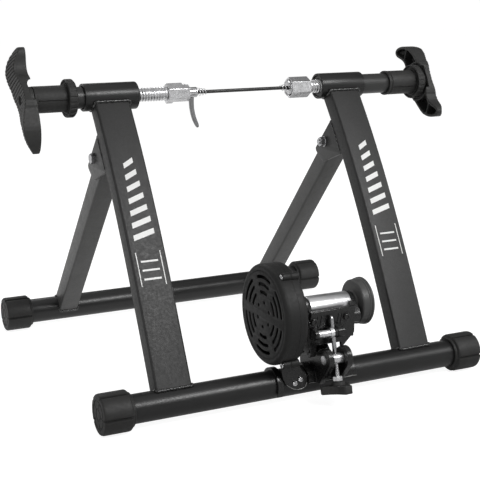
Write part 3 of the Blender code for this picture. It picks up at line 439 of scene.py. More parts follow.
def cad_copy(name, src, mat, body, bevel=0.5, seg=2, angle=30, extra=None, turn=0.0):
    """A bevelled copy of a CAD node, turned about the axle by some degrees."""
    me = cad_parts[src].data.copy()
    bm = bmesh.new()
    bm.from_mesh(me)
    bpy.data.meshes.remove(me)
    bmesh.ops.remove_doubles(bm, verts=bm.verts, dist=0.000004)
    bmesh.ops.dissolve_limit(bm, angle_limit=math.radians(0.6), verts=bm.verts, edges=bm.edges)
    for v in bm.verts:
        v.co = Vector((v.co.x / MM + ORIGIN[0], v.co.y / MM + ORIGIN[1], v.co.z / MM + ORIGIN[2]))
    if turn:
        bmesh.ops.rotate(bm, cent=(0, *AXLE), matrix=Matrix.Rotation(math.radians(turn), 3, "X"), verts=bm.verts)
    if extra:
        bm = merge(bm, extra)
    o = add(name, bm, mat, body, (src,), angle=angle)
    if bevel:
        m = o.modifiers.new("edges", "BEVEL")
        m.width = bevel * MM
        m.segments = seg
        m.limit_method = "ANGLE"
        m.angle_limit = math.radians(angle)
        m.harden_normals = False
        m.use_clamp_overlap = True
    return o


# ---------------------------------------------------------------- base tubes
for n, y, body in (("rear_base_tube", 0.0, "rear_frame"), ("front_base_tube", TRACK, "front_frame")):
    add("skin_" + n, pipe([(-281, 19), (281, 19)], [(-281, 17), (281, 17)], (y, FOOT_R), 128, r=0.5), GLOSS, body, (n,))


# ---------------------------------------------------------------- feet
def foot(name, side, y, body, turn):
    """Rubber shoe: five raised pads between grooves, a recessed end face with spokes, a lip on the tube side."""
    seg = 180
    x_out, x_in = 285.0, 242.5
    grooves = [30.0 + 72.0 * k + turn for k in range(5)]

    def radius(a, flat):
        deg = math.degrees(a) % 360
        r = 26.62
        d = min(abs((deg - g + 180) % 360 - 180) for g in grooves)
        if d < 4.4:
            t = max(0.0, min(1.0, (d - 2.6) / 1.8))
            r = 24.0 + 2.6 * t * t * (3 - 2 * t)
        if flat and 258 < deg < 282:
            r = min(r, 26.7 / math.cos(math.radians(deg - 270)) if abs(deg - 270) < 6 else 26.7)
        return min(r, 26.7 / max(1e-6, abs(math.sin(a)))) if flat and 262 < deg < 278 else r

    rows = []          # (x from the inner end outwards, radius scale or fixed radius)
    prof = [(0.0, 21.6, 0), (0.6, 22.4, 0), (3.0, 22.6, 0), (3.6, 23.4, 0), (4.2, None, -1.2), (5.4, None, -0.25), (6.6, None, 0.0),
            (20.0, None, 0.0), (30.0, None, 0.0), (39.0, None, 0.0), (40.9, None, -0.4), (42.1, None, -1.5), (42.5, None, -3.0),
            (42.5, None, -5.0)]
    bm = bmesh.new()
    X = lambda d: side * (x_in + d)
    rings = []
    for d, fixed, off in prof:
        ring = []
        for k in range(seg):
            a = 2 * math.pi * k / seg
            r = fixed if fixed else radius(a, True) + off
            ring.append(bm.verts.new((X(d), y + r * math.cos(a), FOOT_R + r * math.sin(a))))
        rings.append(ring)
    # end face: a ring groove and five spokes
    for r, sink in ((19.6, 0.0), (19.0, 0.9), (17.6, 0.9), (17.0, 0.0), (9.0, 0.0), (8.4, 0.7), (6.8, 0.7), (6.2, 0.0)):
        ring = []
        for k in range(seg):
            a = 2 * math.pi * k / seg
            deg = math.degrees(a)
            d = min(abs((deg - g + 180) % 360 - 180) for g in grooves) * math.pi / 180 * r
            s = sink
            if r > 9 and d < 1.3:
                s = max(s, 1.0)
            ring.append(bm.verts.new((X(42.5 - s), y + r * math.cos(a), FOOT_R + r * math.sin(a))))
        rings.append(ring)
    centre = bm.verts.new((X(42.5), y, FOOT_R))
    for a, b in zip(rings, rings[1:]):
        for k in range(seg):
            bm.faces.new((a[k], a[(k + 1) % seg], b[(k + 1) % seg], b[k]))
    for k in range(seg):
        bm.faces.new((rings[-1][k], rings[-1][(k + 1) % seg], centre))
    # mouth round the tube
    mouth = []
    for d, r in ((0.0, 19.2), (2.0, 19.1), (34.5, 19.1)):
        mouth.append([bm.verts.new((X(d), y + r * math.cos(2 * math.pi * k / seg), FOOT_R + r * math.sin(2 * math.pi * k / seg)))
                      for k in range(seg)])
    for a, b in zip([rings[0]] + mouth, mouth):
        for k in range(seg):
            bm.faces.new((a[k], a[(k + 1) % seg], b[(k + 1) % seg], b[k]))
    bm.faces.new(mouth[-1])
    for v in bm.verts:
        v.co.z = max(v.co.z, 0.0)
    add("skin_" + name, bm, RUBBER, body, (name,), angle=28)


for label, y, body in (("rear", 0.0, "rear_frame"), ("front", TRACK, "front_frame")):
    foot(label + "_left_foot", -1, y, body, 6.0)
    foot(label + "_right_foot", 1, y, body, 6.0)

# ---------------------------------------------------------------- uprights
UP_X, UP_W, UP_T, UP_BOW = 184.0, 50.0, 25.0, 11.2
UP_LEN = math.hypot(AXLE[0], AXLE[1] - FOOT_R)
UT = (AXLE[0] / UP_LEN, (AXLE[1] - FOOT_R) / UP_LEN)
UN = (-UT[1], UT[0])


def up_point(s, off):
    bow = UP_BOW * 4 * s * (1 - s) * (1 + 0.55 * (s - 0.5))
    return (s * UP_LEN * UT[0] + (bow + off) * UN[0], FOOT_R + s * UP_LEN * UT[1] + (bow + off) * UN[1])


def section(w, t, r, n=5):
    """Rounded rectangle, (across, through) pairs."""
    out = []
    for cx, cy, a0 in ((w / 2 - r, t / 2 - r, 0), (-w / 2 + r, t / 2 - r, 90), (-w / 2 + r, -t / 2 + r, 180), (w / 2 - r, -t / 2 + r, 270)):
        out += [(cx + r * math.cos(math.radians(a0 + 90 * i / n)), cy + r * math.sin(math.radians(a0 + 90 * i / n)))
                for i in range(n + 1)]
    return out


def upright(name, side):
    sec = section(UP_W, UP_T, 3.0)
    bm = bmesh.new()
    rings = []
    n = 36
    for j in range(n + 1):
        ring = []
        for dx, off in sec:
            e = math.sqrt(17.5 ** 2 - min(off * off, 300.0)) / UP_LEN
            s = e + (1 - 2 * e) * j / n
            ring.append(bm.verts.new((side * UP_X + dx, *up_point(s, off))))
        rings.append(ring)
    k = len(sec)
    for a, b in zip(rings, rings[1:]):
        for i in range(k):
            bm.faces.new((a[i], a[(i + 1) % k], b[(i + 1) % k], b[i]))
    bm.faces.new(rings[0][::-1])
    bm.faces.new(rings[-1])
    return add("skin_" + name, bm, SATIN, "rear_frame", (name,), angle=40)


def weld(name, path, r, body, seed=0, closed=True, pitch=2.4):
    """A rippled weld bead along a closed 3D path."""
    pts = [Vector(p) for p in path]
    ring = pts + [pts[0]] if closed else pts
    total = sum((b - a).length for a, b in zip(ring, ring[1:]))
    n = max(24, int(total / 0.7))
    out, radii = [], []
    acc, i, left = 0.0, 0, 0.0
    lens = [(b - a).length for a, b in zip(ring, ring[1:])]
    for j in range(n):
        d = total * j / n
        while i < len(lens) - 1 and acc + lens[i] < d:
            acc += lens[i]
            i += 1
        t = (d - acc) / max(lens[i], 1e-9)
        p = ring[i].lerp(ring[i + 1], min(max(t, 0), 1))
        w = noise.noise(p * 0.09 + Vector((seed, 0, 0)))
        ripple = 0.5 + 0.5 * math.cos(2 * math.pi * d / pitch)
        out.append(p + Vector((noise.noise(p * 0.3), noise.noise(p * 0.3 + Vector((9, 0, 0))), noise.noise(p * 0.3 + Vector((0, 9, 0))))) * 0.35)
        radii.append(r * (0.86 + 0.2 * w + 0.14 * ripple))
    return add(name, tube_line(out, r, 10, closed, radii=radii), WELD, body, angle=60)


def cope_path(side, s_end, cyl_r, toward, w, t, axis):
    """Where a rectangular tube meets a round one: points on the round tube's surface."""
    pts = []
    for dx, off in section(w, t, 3.0, 4):
        if s_end == 0:
            s = math.sqrt(max(cyl_r ** 2 - off * off, 1.0)) / UP_LEN
        else:
            s = 1 - math.sqrt(max(cyl_r ** 2 - off * off, 1.0)) / UP_LEN
        pts.append((side * UP_X + dx, *up_point(s, off)))
    return pts


for label, side in (("left", -1), ("right", 1)):
    upright(label + "_upright", side)
    weld(f"weld_{label}_low", cope_path(side, 0, 19.6, 1, UP_W + 1.2, UP_T + 1.6, TUBE), 2.1, "rear_frame", 3 * side)
    weld(f"weld_{label}_high", cope_path(side, 1, 19.6, -1, UP_W + 1.2, UP_T + 1.6, AXLE), 2.1, "rear_frame", 5 * side)


# printed stripes on the front faces of the uprights
def stripe(name, side, shape):
    """A thin print on the front face. shape holds (across, distance along in mm) points."""
    bm = bmesh.new()
    for loop in shape:
        vs = []
        k = len(loop)
        fine = []
        for i, (a, s) in enumerate(loop):
            b = loop[(i + 1) % k]
            n = max(1, int(abs(b[1] - s) / 12))
            fine += [(a + (b[0] - a) * j / n, s + (b[1] - s) * j / n) for j in range(n)]
        for a, s in fine:
            vs.append(bm.verts.new((side * UP_X + a, *up_point(s / UP_LEN, UP_T / 2 + 0.06))))
        bm.faces.new(vs)
    bmesh.ops.triangulate(bm, faces=bm.faces)
    return add(name, bm, WHITE, "rear_frame", angle=60)


for label, side in (("left", -1), ("right", 1)):
    loops = []
    for i in range(7):
        s0 = 212 + 17 * i
        half = 15.0 - 1.3 * i
        loops.append([(-half, s0), (half, s0 + 8), (half, s0 + 15.5), (-half, s0 + 7.5)])
    for a in (-17.5, 16.3):
        loops.append([(a, 150), (a + 1.2, 150), (a + 1.2, 196), (a, 196)])
    loops.append([(-12, 158), (12, 158), (12, 160.5), (-12, 160.5)])
    loops.append([(-12, 170), (12, 170), (12, 172.5), (-12, 172.5)])
    loops.append([(-12, 182), (12, 182), (12, 184.5), (-12, 184.5)])
    stripe(f"print_{label}", side, loops)

# ---------------------------------------------------------------- clamp sleeves
for label, a, b in (("left", -221.5, -143.5), ("right", 147.5, 221.5)):
    add(f"skin_{label}_sleeve", pipe([(a, 19), (b, 19)], [(a, 15.6), (b, 15.6)], AXLE, 112, r=1.5), GLOSS, "rear_frame",
        (label + "_sleeve",))
for label, side, inner in (("left", -1, 145.5), ("right", 1, 149.5)):
    a, b = sorted((side * inner, side * 282.0))

    def teeth(x, r, ang, i, a=a, b=b, side=side, inner=inner):
        """Small teeth round the bush's inner mouth."""
        near = abs(x - side * inner) < 2.2
        return r + (0.5 - 0.5 * math.cos(20 * ang)) * 0.9 if near and r < 11.5 else r

    add(f"skin_{label}_guide_bush", pipe([(a, 14.8), (a + 0.8, 15), (b - 0.8, 15), (b, 14.8)],
                                         [(a, 10.8), (a + 2.0, 10.55), (b - 2.0, 10.55), (b, 10.8)], AXLE, 120, r=0.0, mod=teeth), NYLON,
        "rear_frame", (label + "_guide_bush",))


# ---------------------------------------------------------------- fold brackets, pivots and legs
def back_face(z):
    lo, hi = 0.5, 1.0
    for _ in range(50):
        mid = (lo + hi) / 2
        if up_point(mid, -UP_T / 2)[1] < z:
            lo = mid
        else:
            hi = mid
    return lo


S_LOW, S_HIGH = back_face(299.2), back_face(346.0)
LEG_D = Vector((TRACK - PIVOT[0], FOOT_R - PIVOT[1])).normalized()
LEG_N = Vector((-LEG_D.y, LEG_D.x))
LEG_LEN = math.hypot(TRACK - PIVOT[0], FOOT_R - PIVOT[1])


def leg_point(along, across):
    p = Vector(PIVOT) + LEG_D * along + LEG_N * across
    return (p.x, p.y)


def leg(name, side):
    x = side * UP_X
    bm = bmesh.new()
    rings = []
    for w, r, back in ((30.0, 3.0, False), (26.0, 1.6, True)):
        sec = section(w, w, r, 4)
        rows = []
        stations = [0.0, 0.02, 0.25, 0.5, 0.75, 1.0] if not back else [0.0, 0.12]
        for t in stations:
            ring = []
            for dx, off in sec:
                top = -math.sqrt(max(15.0 ** 2 - off * off, 0.0))
                low = LEG_LEN - math.sqrt(max(17.5 ** 2 - off * off, 0.0))
                ring.append(bm.verts.new((x + dx, *leg_point(top + (low - top) * t, off))))
            rows.append(ring)
        k = len(sec)
        for a, b in zip(rows, rows[1:]):
            for i in range(k):
                bm.faces.new((a[i], a[(i + 1) % k], b[(i + 1) % k], b[i]))
        bm.faces.new(rows[-1])
        rings.append(rows[0])
    for i in range(len(rings[0])):
        j = (i + 1) % len(rings[0])
        bm.faces.new((rings[0][i], rings[0][j], rings[1][j], rings[1][i]))
    add("skin_" + name, bm, LEGS, "front_frame", (name,), angle=40)
    path = []
    for dx, off in section(31.2, 31.2, 3.0, 4):
        path.append((x + dx, *leg_point(LEG_LEN - math.sqrt(max(19.5 ** 2 - off * off, 0.0)), off)))
    weld("weld_" + name, path, 1.9, "front_frame", 7 * side)


def bracket(name, side):
    x = side * UP_X
    edge = [up_point(S_LOW + (S_HIGH - S_LOW) * i / 8, -UP_T / 2 - 0.3) for i in range(9)]
    outer_low = [(242.5, 298.5), (241.0, 294.0), (236.5, 290.5), (222.5, 281.4), (218.0, 280.6), (213.5, 281.6)]
    hole = circle(*PIVOT, 4.3, 28)
    lip = [up_point(S_LOW + (S_HIGH - S_LOW) * i / 8, -UP_T / 2 + 1.9) for i in range(9)]
    cheek = fillet(lip + outer_low, 2.0, True, 3)
    bm = merge(yz_plate([cheek, hole], x - 25, x - 22, 0.5), yz_plate([cheek, hole], x + 22, x + 25, 0.5))
    strip = edge + [up_point(S_HIGH - (S_HIGH - S_LOW) * i / 8, -UP_T / 2 - 3.3) for i in range(9)]
    bm = merge(bm, yz_plate([strip], x - 24.9, x + 24.9, 0.9, 3))
    add("skin_" + name, bm, BRACKET, "rear_frame", (name,), angle=35)
    for j, dx in enumerate((-25.0, 25.0)):
        path = [(x + dx, *up_point(S_LOW + 0.012 + (S_HIGH - S_LOW - 0.024) * i / 6, -UP_T / 2 - 0.1)) for i in range(7)]
        weld(f"weld_{name}_{j}", path, 1.1, "rear_frame", 11 + j, closed=False)


def hex_bolt(name, x0, x1, af, yz, body, nodes, mat, washer=None, shaft=None, mark=True):
    """A hexagon head with a turned chamfer between x0 and x1 (x1 is the free face)."""
    s = 1 if x1 > x0 else -1
    R = af / 2 / math.cos(math.pi / 6)
    n = 72
    bm = bmesh.new()
    rows = []
    for d, lim in ((0.0, 99), (abs(x1 - x0) - 1.1, 99), (abs(x1 - x0) - 0.55, R * 0.985), (abs(x1 - x0), R * 0.90), (abs(x1 - x0), R * 0.6)):
        ring = []
        for k in range(n):
            a = 2 * math.pi * k / n
            h = (af / 2) / math.cos((a + math.pi / 6) % (math.pi / 3) - math.pi / 6)
            r = min(h, lim)
            ring.append(bm.verts.new((x0 + s * d, yz[0] + r * math.cos(a), yz[1] + r * math.sin(a))))
        rows.append(ring)
    for a, b in zip(rows, rows[1:]):
        for k in range(n):
            bm.faces.new((a[k], a[(k + 1) % n], b[(k + 1) % n], b[k]))
    bm.faces.new(rows[0][::-1])
    bm.faces.new(rows[-1])
    if washer:
        bm = merge(bm, solid([(washer[0], washer[2]), (washer[1], washer[2])], yz, 48, r=0.3))
    if shaft:
        bm = merge(bm, solid([(shaft[0], shaft[2]), (shaft[1], shaft[2])], yz, 32, r=0.6))
    return add(name, bm, mat, body, nodes, angle=25)


for label, side in (("left", -1), ("right", 1)):
    x = side * UP_X
    bracket(label + "_fold_bracket", side)
    leg(label + "_leg", side)
    add(f"skin_{label}_leg_bush", pipe([(x - 21.6, 7), (x + 21.6, 7)], [(x - 21.6, 4.35), (x + 21.6, 4.35)], PIVOT, 40, r=0.4),
        NYLON, "front_frame", (label + "_leg_bush",))
    hex_bolt(f"skin_{label}_pivot_bolt", x + side * 25.3, x + side * 30.2, 13, PIVOT, "rear_frame", (label + "_pivot_bolt",),
             BOLT_STEEL, shaft=(*sorted((x - side * 36, x + side * 26)), 4.0))
    hex_bolt(f"skin_{label}_pivot_nut", x - side * 26.6, x - side * 33.4, 13, PIVOT, "rear_frame", (label + "_pivot_nut",),
             BOLT_STEEL, washer=(*sorted((x - side * 26.9, x - side * 25.3)), 8.0))


# ---------------------------------------------------------------- clamps
def thread(x0, x1, r, pitch, depth, seg=56, per=8, phase=0.0):
    """Rows of a right-handed screw thread from x0 to x1."""
    rows = int((x1 - x0) / pitch * per)
    prof = [(x0 + (x1 - x0) * i / rows, r) for i in range(rows + 1)]

    def mod(x, rr, a, i):
        edge = min(1.0, (x - x0) / pitch, (x1 - x) / pitch)
        t = ((x / pitch - a / (2 * math.pi) + phase) % 1.0)
        t = abs(2 * t - 1)
        h = max(0.0, min(1.0, (t - 0.12) / 0.62))
        return rr - depth * h * max(0.0, edge)
    return prof, mod


def screw_rod(name, x0, x1, r, pitch, depth, centre, body, nodes, mat, tail=(), seg=56):
    prof, mod = thread(x0, x1, r, pitch, depth, seg)
    bm = spin(bmesh.new(), prof, centre, seg, False, mod)
    ends = solid([(x0 - 0.01, r - depth), (x0 + 0.3, r - 0.2)], centre, seg)
    ends = merge(ends, solid([(x1 - 0.3, r - 0.2), (x1 + 0.01, r - depth)], centre, seg))
    for a, b, rr in tail:
        ends = merge(ends, solid([(a, rr), (b, rr)], centre, 40, r=0.3))
    return add(name, merge(bm, ends), mat, body, nodes, angle=60)


screw_rod("skin_left_spindle", -300.2, -98.2, 10.0, 4.2, 1.25, AXLE, "left_screw", ("left_spindle",), ZINC,
          tail=((-99.0, -90.4, 6.0),))
screw_rod("skin_right_spindle", 130.8, 336.0, 10.0, 4.2, 1.25, AXLE, "right_screw", ("right_spindle",), ZINC,
          tail=((123.3, 131.5, 6.0),))


def cutter_box(name, x, y, z, rot=0.0):
    bm = bmesh.new()
    bmesh.ops.create_cube(bm, size=1.0)
    bmesh.ops.scale(bm, vec=(x[1] - x[0], y[1] - y[0], z[1] - z[0]), verts=bm.verts)
    bmesh.ops.translate(bm, vec=((x[0] + x[1]) / 2, (y[0] + y[1]) / 2, (z[0] + z[1]) / 2), verts=bm.verts)
    if rot:
        bmesh.ops.rotate(bm, cent=(0, AXLE[0], AXLE[1]), matrix=Matrix.Rotation(rot, 3, "X"), verts=bm.verts)
    return bm


def subtract(o, cutters):
    """Cuts bmesh volumes (millimetres) out of an object and keeps the result."""
    for i, bm in enumerate(cutters):
        for v in bm.verts:
            v.co = W(*v.co)
        bmesh.ops.recalc_face_normals(bm, faces=bm.faces)
        me = bpy.data.meshes.new("cut")
        bm.to_mesh(me)
        bm.free()
        c = bpy.data.objects.new("cut", me)
        bpy.context.scene.collection.objects.link(c)
        m = o.modifiers.new("cut", "BOOLEAN")
        m.operation, m.object, m.solver = "DIFFERENCE", c, "EXACT"
        bpy.context.view_layer.update()
        new = bpy.data.meshes.new_from_object(o.evaluated_get(bpy.context.evaluated_depsgraph_get()))
        o.modifiers.clear()
        old, o.data = o.data, new
        bpy.data.meshes.remove(old)
        bpy.data.objects.remove(c)
        bpy.data.meshes.remove(me)
    bm = bmesh.new()
    bm.from_mesh(o.data)
    for e in bm.edges:
        e.smooth = not (len(e.link_faces) == 2 and e.calc_face_angle(0.0) > math.radians(32))
    bm.to_mesh(o.data)
    bm.free()
    return o


def shank(label, side, shift, body, tilt, length):
    X = lambda d: side * (267.0 + d - shift)
    outer = [(X(0), 18.6), (X(3.0), 18.6), (X(3.4), 17.2), (X(5.6), 17.2), (X(6.0), 18.2), (X(length), 18.2)]
    inner = [(X(0), 15.7), (X(51.0), 15.7), (X(51.0), 10.4), (X(length), 10.4)]
    o = add(f"skin_{label}_shank", pipe(outer, inner, AXLE, 96, r=0.3), PLASTIC, body, (label + "_shank",), angle=30)
    a, b = sorted((X(7.5), X(53.0)))
    return subtract(o, [cutter_box("slit", (a, b), (AXLE[0] - 24, AXLE[0] - 12), (AXLE[1] - 0.5, AXLE[1] + 0.5), tilt)])


shank("left", -1, 34.0, "left_screw", 0.0, 57.5)
shank("right", 1, 0.0, "right_screw", math.radians(17), 59.6)


def lock_ring(label, x0, body):
    """A ring nut with ribs round its outer edge."""
    prof_out = fillet([(x0 + 0.3, 20.4), (x0 + 2.8, 20.9), (x0 + 2.8, 23.3), (x0, 24.3), (x0, 25.3), (x0 + 1.2, 26.1), (x0 + 9.6, 26.1),
                       (x0 + 12, 23.7), (x0 + 12, 19.6)], 0.35, False, 2)
    prof_in = [(x0 + 12, 18.95), (x0 + 0.3, 18.95)]

    def mod(x, r, a, i):
        if r < 23.5 or x < x0 + 0.9:
            return r
        w = 0.5 + 0.5 * math.cos(22 * a)
        w = max(0.0, min(1.0, (w - 0.22) / 0.25))
        return r - 1.5 * (1 - w) * min(1.0, (r - 23.5) / 1.5) * min(1.0, (x - x0 - 0.9) / 1.2)
    bm = spin(bmesh.new(), prof_out + prof_in, AXLE, 264, True, mod)
    return add(f"skin_{label}_lock_ring", bm, PLASTIC, body, (label + "_lock_ring",), angle=35)


lock_ring("left", -245.4, "left_ring")
lock_ring("right", 315.5, "right_ring")


def handle(label, body, side, turn, x_rim):
    """The moulded S grip: a fine skin over the CAD form with softened edges, and diagonal ribs on its face."""
    src = label + "_handle"
    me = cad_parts[src].data.copy()
    o = bpy.data.objects.new("skin_" + src, me)
    bm = bmesh.new()
    bm.from_mesh(me)
    bmesh.ops.remove_doubles(bm, verts=bm.verts, dist=0.000004)
    bm.to_mesh(me)
    bm.free()
    bpy.context.scene.collection.objects.link(o)
    m = o.modifiers.new("skin", "REMESH")
    m.mode, m.voxel_size, m.adaptivity = "VOXEL", 0.0008, 0.0
    s = o.modifiers.new("soften", "SMOOTH")
    s.factor, s.iterations = 0.5, 8
    bpy.context.view_layer.update()
    new = bpy.data.meshes.new_from_object(o.evaluated_get(bpy.context.evaluated_depsgraph_get()))
    o.modifiers.clear()
    o.data = new
    f = math.radians(turn)
    if side > 0:
        rot = Matrix(((0, 0, 1), (math.sin(f), -math.cos(f), 0), (math.cos(f), math.sin(f), 0)))
    else:
        rot = Matrix(((0, 0, -1), (math.sin(f), math.cos(f), 0), (math.cos(f), -math.sin(f), 0)))
    at = W(x_rim, *AXLE)
    inv = rot.transposed()
    new.update()
    normals = [v.normal.copy() for v in new.vertices]
    depth = [0.0] * len(new.vertices)
    for v, n in zip(new.vertices, normals):
        p = inv @ (v.co - at) / MM
        nn = inv @ n
        v_, u_, z_ = p
        # the whole outer face, but not its rounded edge or the hole in its middle
        if nn.z > 0.5 and z_ > -30 and abs(v_) < 68.0 and math.hypot(v_, u_) > 9.5:
            t = ((v_ + u_ * 0.22) / 4.9) % 1.0
            groove = max(0.0, min(1.0, 1.5 - abs(t - 0.5) / 0.16))
            fade = max(0.0, min(1.0, (nn.z - 0.5) / 0.3))
            v.co -= n * (1.3 * MM * groove * fade)
            # the stored value paints shade into the grooves (positive) and a highlight onto the ribs (negative) in the
            # grip material
            depth[v.index] = (groove * 2.0 - 1.0) * fade
    new.attributes.new("groove", "FLOAT", "POINT").data.foreach_set("value", depth)
    for p in new.polygons:
        p.use_smooth = True
    return place(o, GRIP, body, (src,))


handle("left", "left_screw", -1, 18.6, -290.8)
handle("right", "right_screw", 1, 56.9, 326.9)

# cups
cad_copy("skin_left_cup", "left_cup", ZINC, "left_carriage", 0.8, 3, 20)
cad_copy("skin_right_cup", "right_cup", ZINC, "right_carriage", 0.8, 3, 20, turn=23.0)

# ---------------------------------------------------------------- skewer
add("skin_skewer_rod", solid([(-52.4, 2.5), (102.6, 2.5)], AXLE, 32, r=0.4), BRACKET, "left_carriage", ("skewer_rod",))
head = add("skin_skewer_head", solid([(-64.6, 6.6), (-63.6, 7.4), (-51.4, 7.4), (-50.4, 6.4)], AXLE, 72, r=0.5), CHROME,
           "left_carriage", ("skewer_head",))
subtract(head, [cutter_box("slot", (-66.0, -53.0), (AXLE[0] - 2.9, AXLE[0] + 2.9), (AXLE[1] - 12, AXLE[1] + 6.3))])
LEVER_X = -58.6
arm = (arc(0, 0, 5.0, 200, -20, 24)[::1] + [(3.5, -8.0), (3.3, -14), (3.6, -22), (5.0, -30), (7.4, -38), (10.4, -45.2),
       (11.3, -48.6), (10.2, -50.8), (7.9, -50.9), (5.4, -47.4), (1.6, -40), (-1.2, -31), (-2.8, -22), (-3.4, -14),
       (-3.7, -8.0)])
arm = [(x + LEVER_X, z + AXLE[1]) for x, z in arm]
add("skin_skewer_lever", xz_plate([fillet(arm, 2.5, True, 3)], AXLE[0] - 2.5, AXLE[0] + 2.5, 1.3, 4), LEVER,
    "quick_release_lever", ("skewer_lever",), angle=50)


def knurl(n, depth):
    return lambda x, r, a, i: r - (depth * (0.5 - 0.5 * math.cos(n * a)) if r > 9.9 else 0.0)


bm = spin(bmesh.new(), fillet([(98.0, 8.2), (99.4, 10.4), (102.0, 10.4), (102.4, 6.2), (104.4, 6.0), (104.4, 2.85), (100.2, 2.85), (98.0, 4.6)],
                              0.35, True, 2), AXLE, 160, True, knurl(40, 0.35))
add("skin_skewer_nut", bm, CHROME, "quick_release_nut", ("skewer_nut",), angle=35)


def coil(name, x0, x1, r0, r1, wire, turns, node_name):
    n = int(turns * 28)
    pts = []
    for i in range(n + 1):
        t = i / n
        a = 2 * math.pi * turns * t
        r = r0 + (r1 - r0) * t
        pts.append((x0 + (x1 - x0) * t, AXLE[0] + r * math.cos(a), AXLE[1] + r * math.sin(a)))
    add(name, tube_line(pts, wire / 2, 10), ZINC, "left_carriage", (node_name,), angle=60)


coil("skin_skewer_spring_left", -49.2, -35.0, 6.2, 3.7, 0.98, 3, "skewer_spring_left")
coil("skin_skewer_spring_right", 85.4, 97.0, 3.7, 6.2, 0.98, 2.5, "skewer_spring_right")

# ---------------------------------------------------------------- roller unit
cover_prof = [(-50.2, 58.4), (-50.2, 62.2), (-49.4, 65.2), (-47.2, 67.2), (-44.2, 68.0), (-31.2, 68.0)]
cover_in = [(-31.2, 65.6), (-43.8, 65.6), (-46.0, 64.6), (-47.4, 61.6), (-47.6, 58.4)]
bm = spin(bmesh.new(), fillet(cover_prof, 2.0, False, 3) + cover_in, UNIT, 144, True)


def slot(r, half, centre, width):
    n = max(4, int(half * 2 * r / 90))
    e = math.degrees(width * 0.34 / r)
    a0, a1 = centre - half, centre + half
    pts = (arc(*UNIT, r + width / 2, a0 + e, a1 - e, n) + [arc(*UNIT, r, a1, a1, 1)[0]]
           + arc(*UNIT, r - width / 2, a1 - e, a0 + e, n) + [arc(*UNIT, r, a0, a0, 1)[0]])
    return pts


vents = [slot(r, half, 90 + 60 * k + turn, w) for r, half, turn, w in
         ((51.0, 22.5, 0, 4.6), (41.0, 21.5, 0, 4.6), (30.5, 20.0, 0, 4.6), (17.0, 10.0, 6, 4.2)) for k in range(6)]
bm = merge(bm, yz_plate([circle(*UNIT, 59.4, 144)] + vents, -50.2, -47.6, 0.3, 1))
BOSSES = ((121.0, 68.5), (236.0, 71.0))


def boss_yz(a, r):
    return (UNIT[0] + r * math.cos(math.radians(a)), UNIT[1] + r * math.sin(math.radians(a)))


for a, r in BOSSES:
    bm = merge(bm, pipe([(-42.4, 5.6), (-31.2, 5.6)], [(-42.4, 2.3), (-31.2, 2.3)], boss_yz(a, r), 40, r=0.5))
add("skin_housing_cover", bm, HOUSING, "resistance_unit", ("housing_cover",), angle=30)
bm = spin(bmesh.new(), fillet([(-30.9, 68.0), (-23.0, 68.0), (-19.4, 66.0), (-18.0, 62.0)], 1.5, False, 3)
          + [(-18.0, 14.0), (-21.0, 14.0), (-21.2, 61.0), (-30.9, 65.4)], UNIT, 144, True)
for a, r in BOSSES:
    bm = merge(bm, solid([(-30.9, 5.6), (-19.0, 5.6)], boss_yz(a, r), 40, r=0.5))
add("skin_housing_back", bm, HOUSING, "resistance_unit", ("housing_back",), angle=30)


def screw(name, head_at, direction, r, length, body, nodes, mat=CHROME):
    """A pan head with a cross recess. head_at is the middle of its seat, direction points out of the head."""
    d = Vector(direction).normalized()
    p0 = Vector(head_at)
    bm = solid(fillet([(-length, r * 0.5), (0.0, r * 0.5), (0.0, r), (0.8, r), (2.0, r * 0.82), (2.6, r * 0.45)], 0.25, False, 2),
               (0, 0), 40, axis=(p0, d))
    o = add(name, bm, mat, body, nodes, angle=35)
    e1 = Vector((1, 0, 0)) if abs(d.x) < 0.9 else Vector((0, 1, 0))
    e1 = (e1 - d * e1.dot(d)).normalized()
    e1 = (e1 + d.cross(e1) * 0.5).normalized()
    e2 = d.cross(e1)
    cutters = []
    for u, v in ((e1, e2), (e2, e1)):
        b = bmesh.new()
        bmesh.ops.create_cube(b, size=1.0)
        m = Matrix((u * r * 1.1, v * 0.75, d * 2.6)).transposed().to_4x4()
        m.translation = p0 + d * 2.7
        bmesh.ops.transform(b, matrix=m, verts=b.verts)
        cutters.append(b)
    return subtract(o, cutters)


for n, (a, r) in zip(("upper", "lower"), BOSSES):
    yz = boss_yz(a, r)
    screw(f"skin_housing_screw_{n}", (-42.4, *yz), (-1, 0, 0), 3.9, 18, "resistance_unit", (f"housing_screw_{n}",))

add("skin_magnet_ring", pipe([(-31.0, 55), (-23.9, 55)], [(-31.0, 34), (-23.9, 34)], UNIT, 72, r=0.5), FERRITE,
    "resistance_unit", ("magnet_ring",))
for label, x in (("left", 5.0), ("right", 77.3)):
    bm = pipe([(x, 11), (x + 5, 11)], [(x, 9.0), (x + 5, 9.0)], UNIT, 64, r=0.4)
    bm = merge(bm, pipe([(x + 0.6, 8.8), (x + 4.4, 8.8)], [(x + 0.6, 6.2), (x + 4.4, 6.2)], UNIT, 64, r=0.3))
    bm = merge(bm, pipe([(x, 6.0), (x + 5, 6.0)], [(x, 4.3), (x + 5, 4.3)], UNIT, 64, r=0.4))
    add(f"skin_{label}_bearing", bm, TURNED, "resistance_unit", (label + "_bearing",))

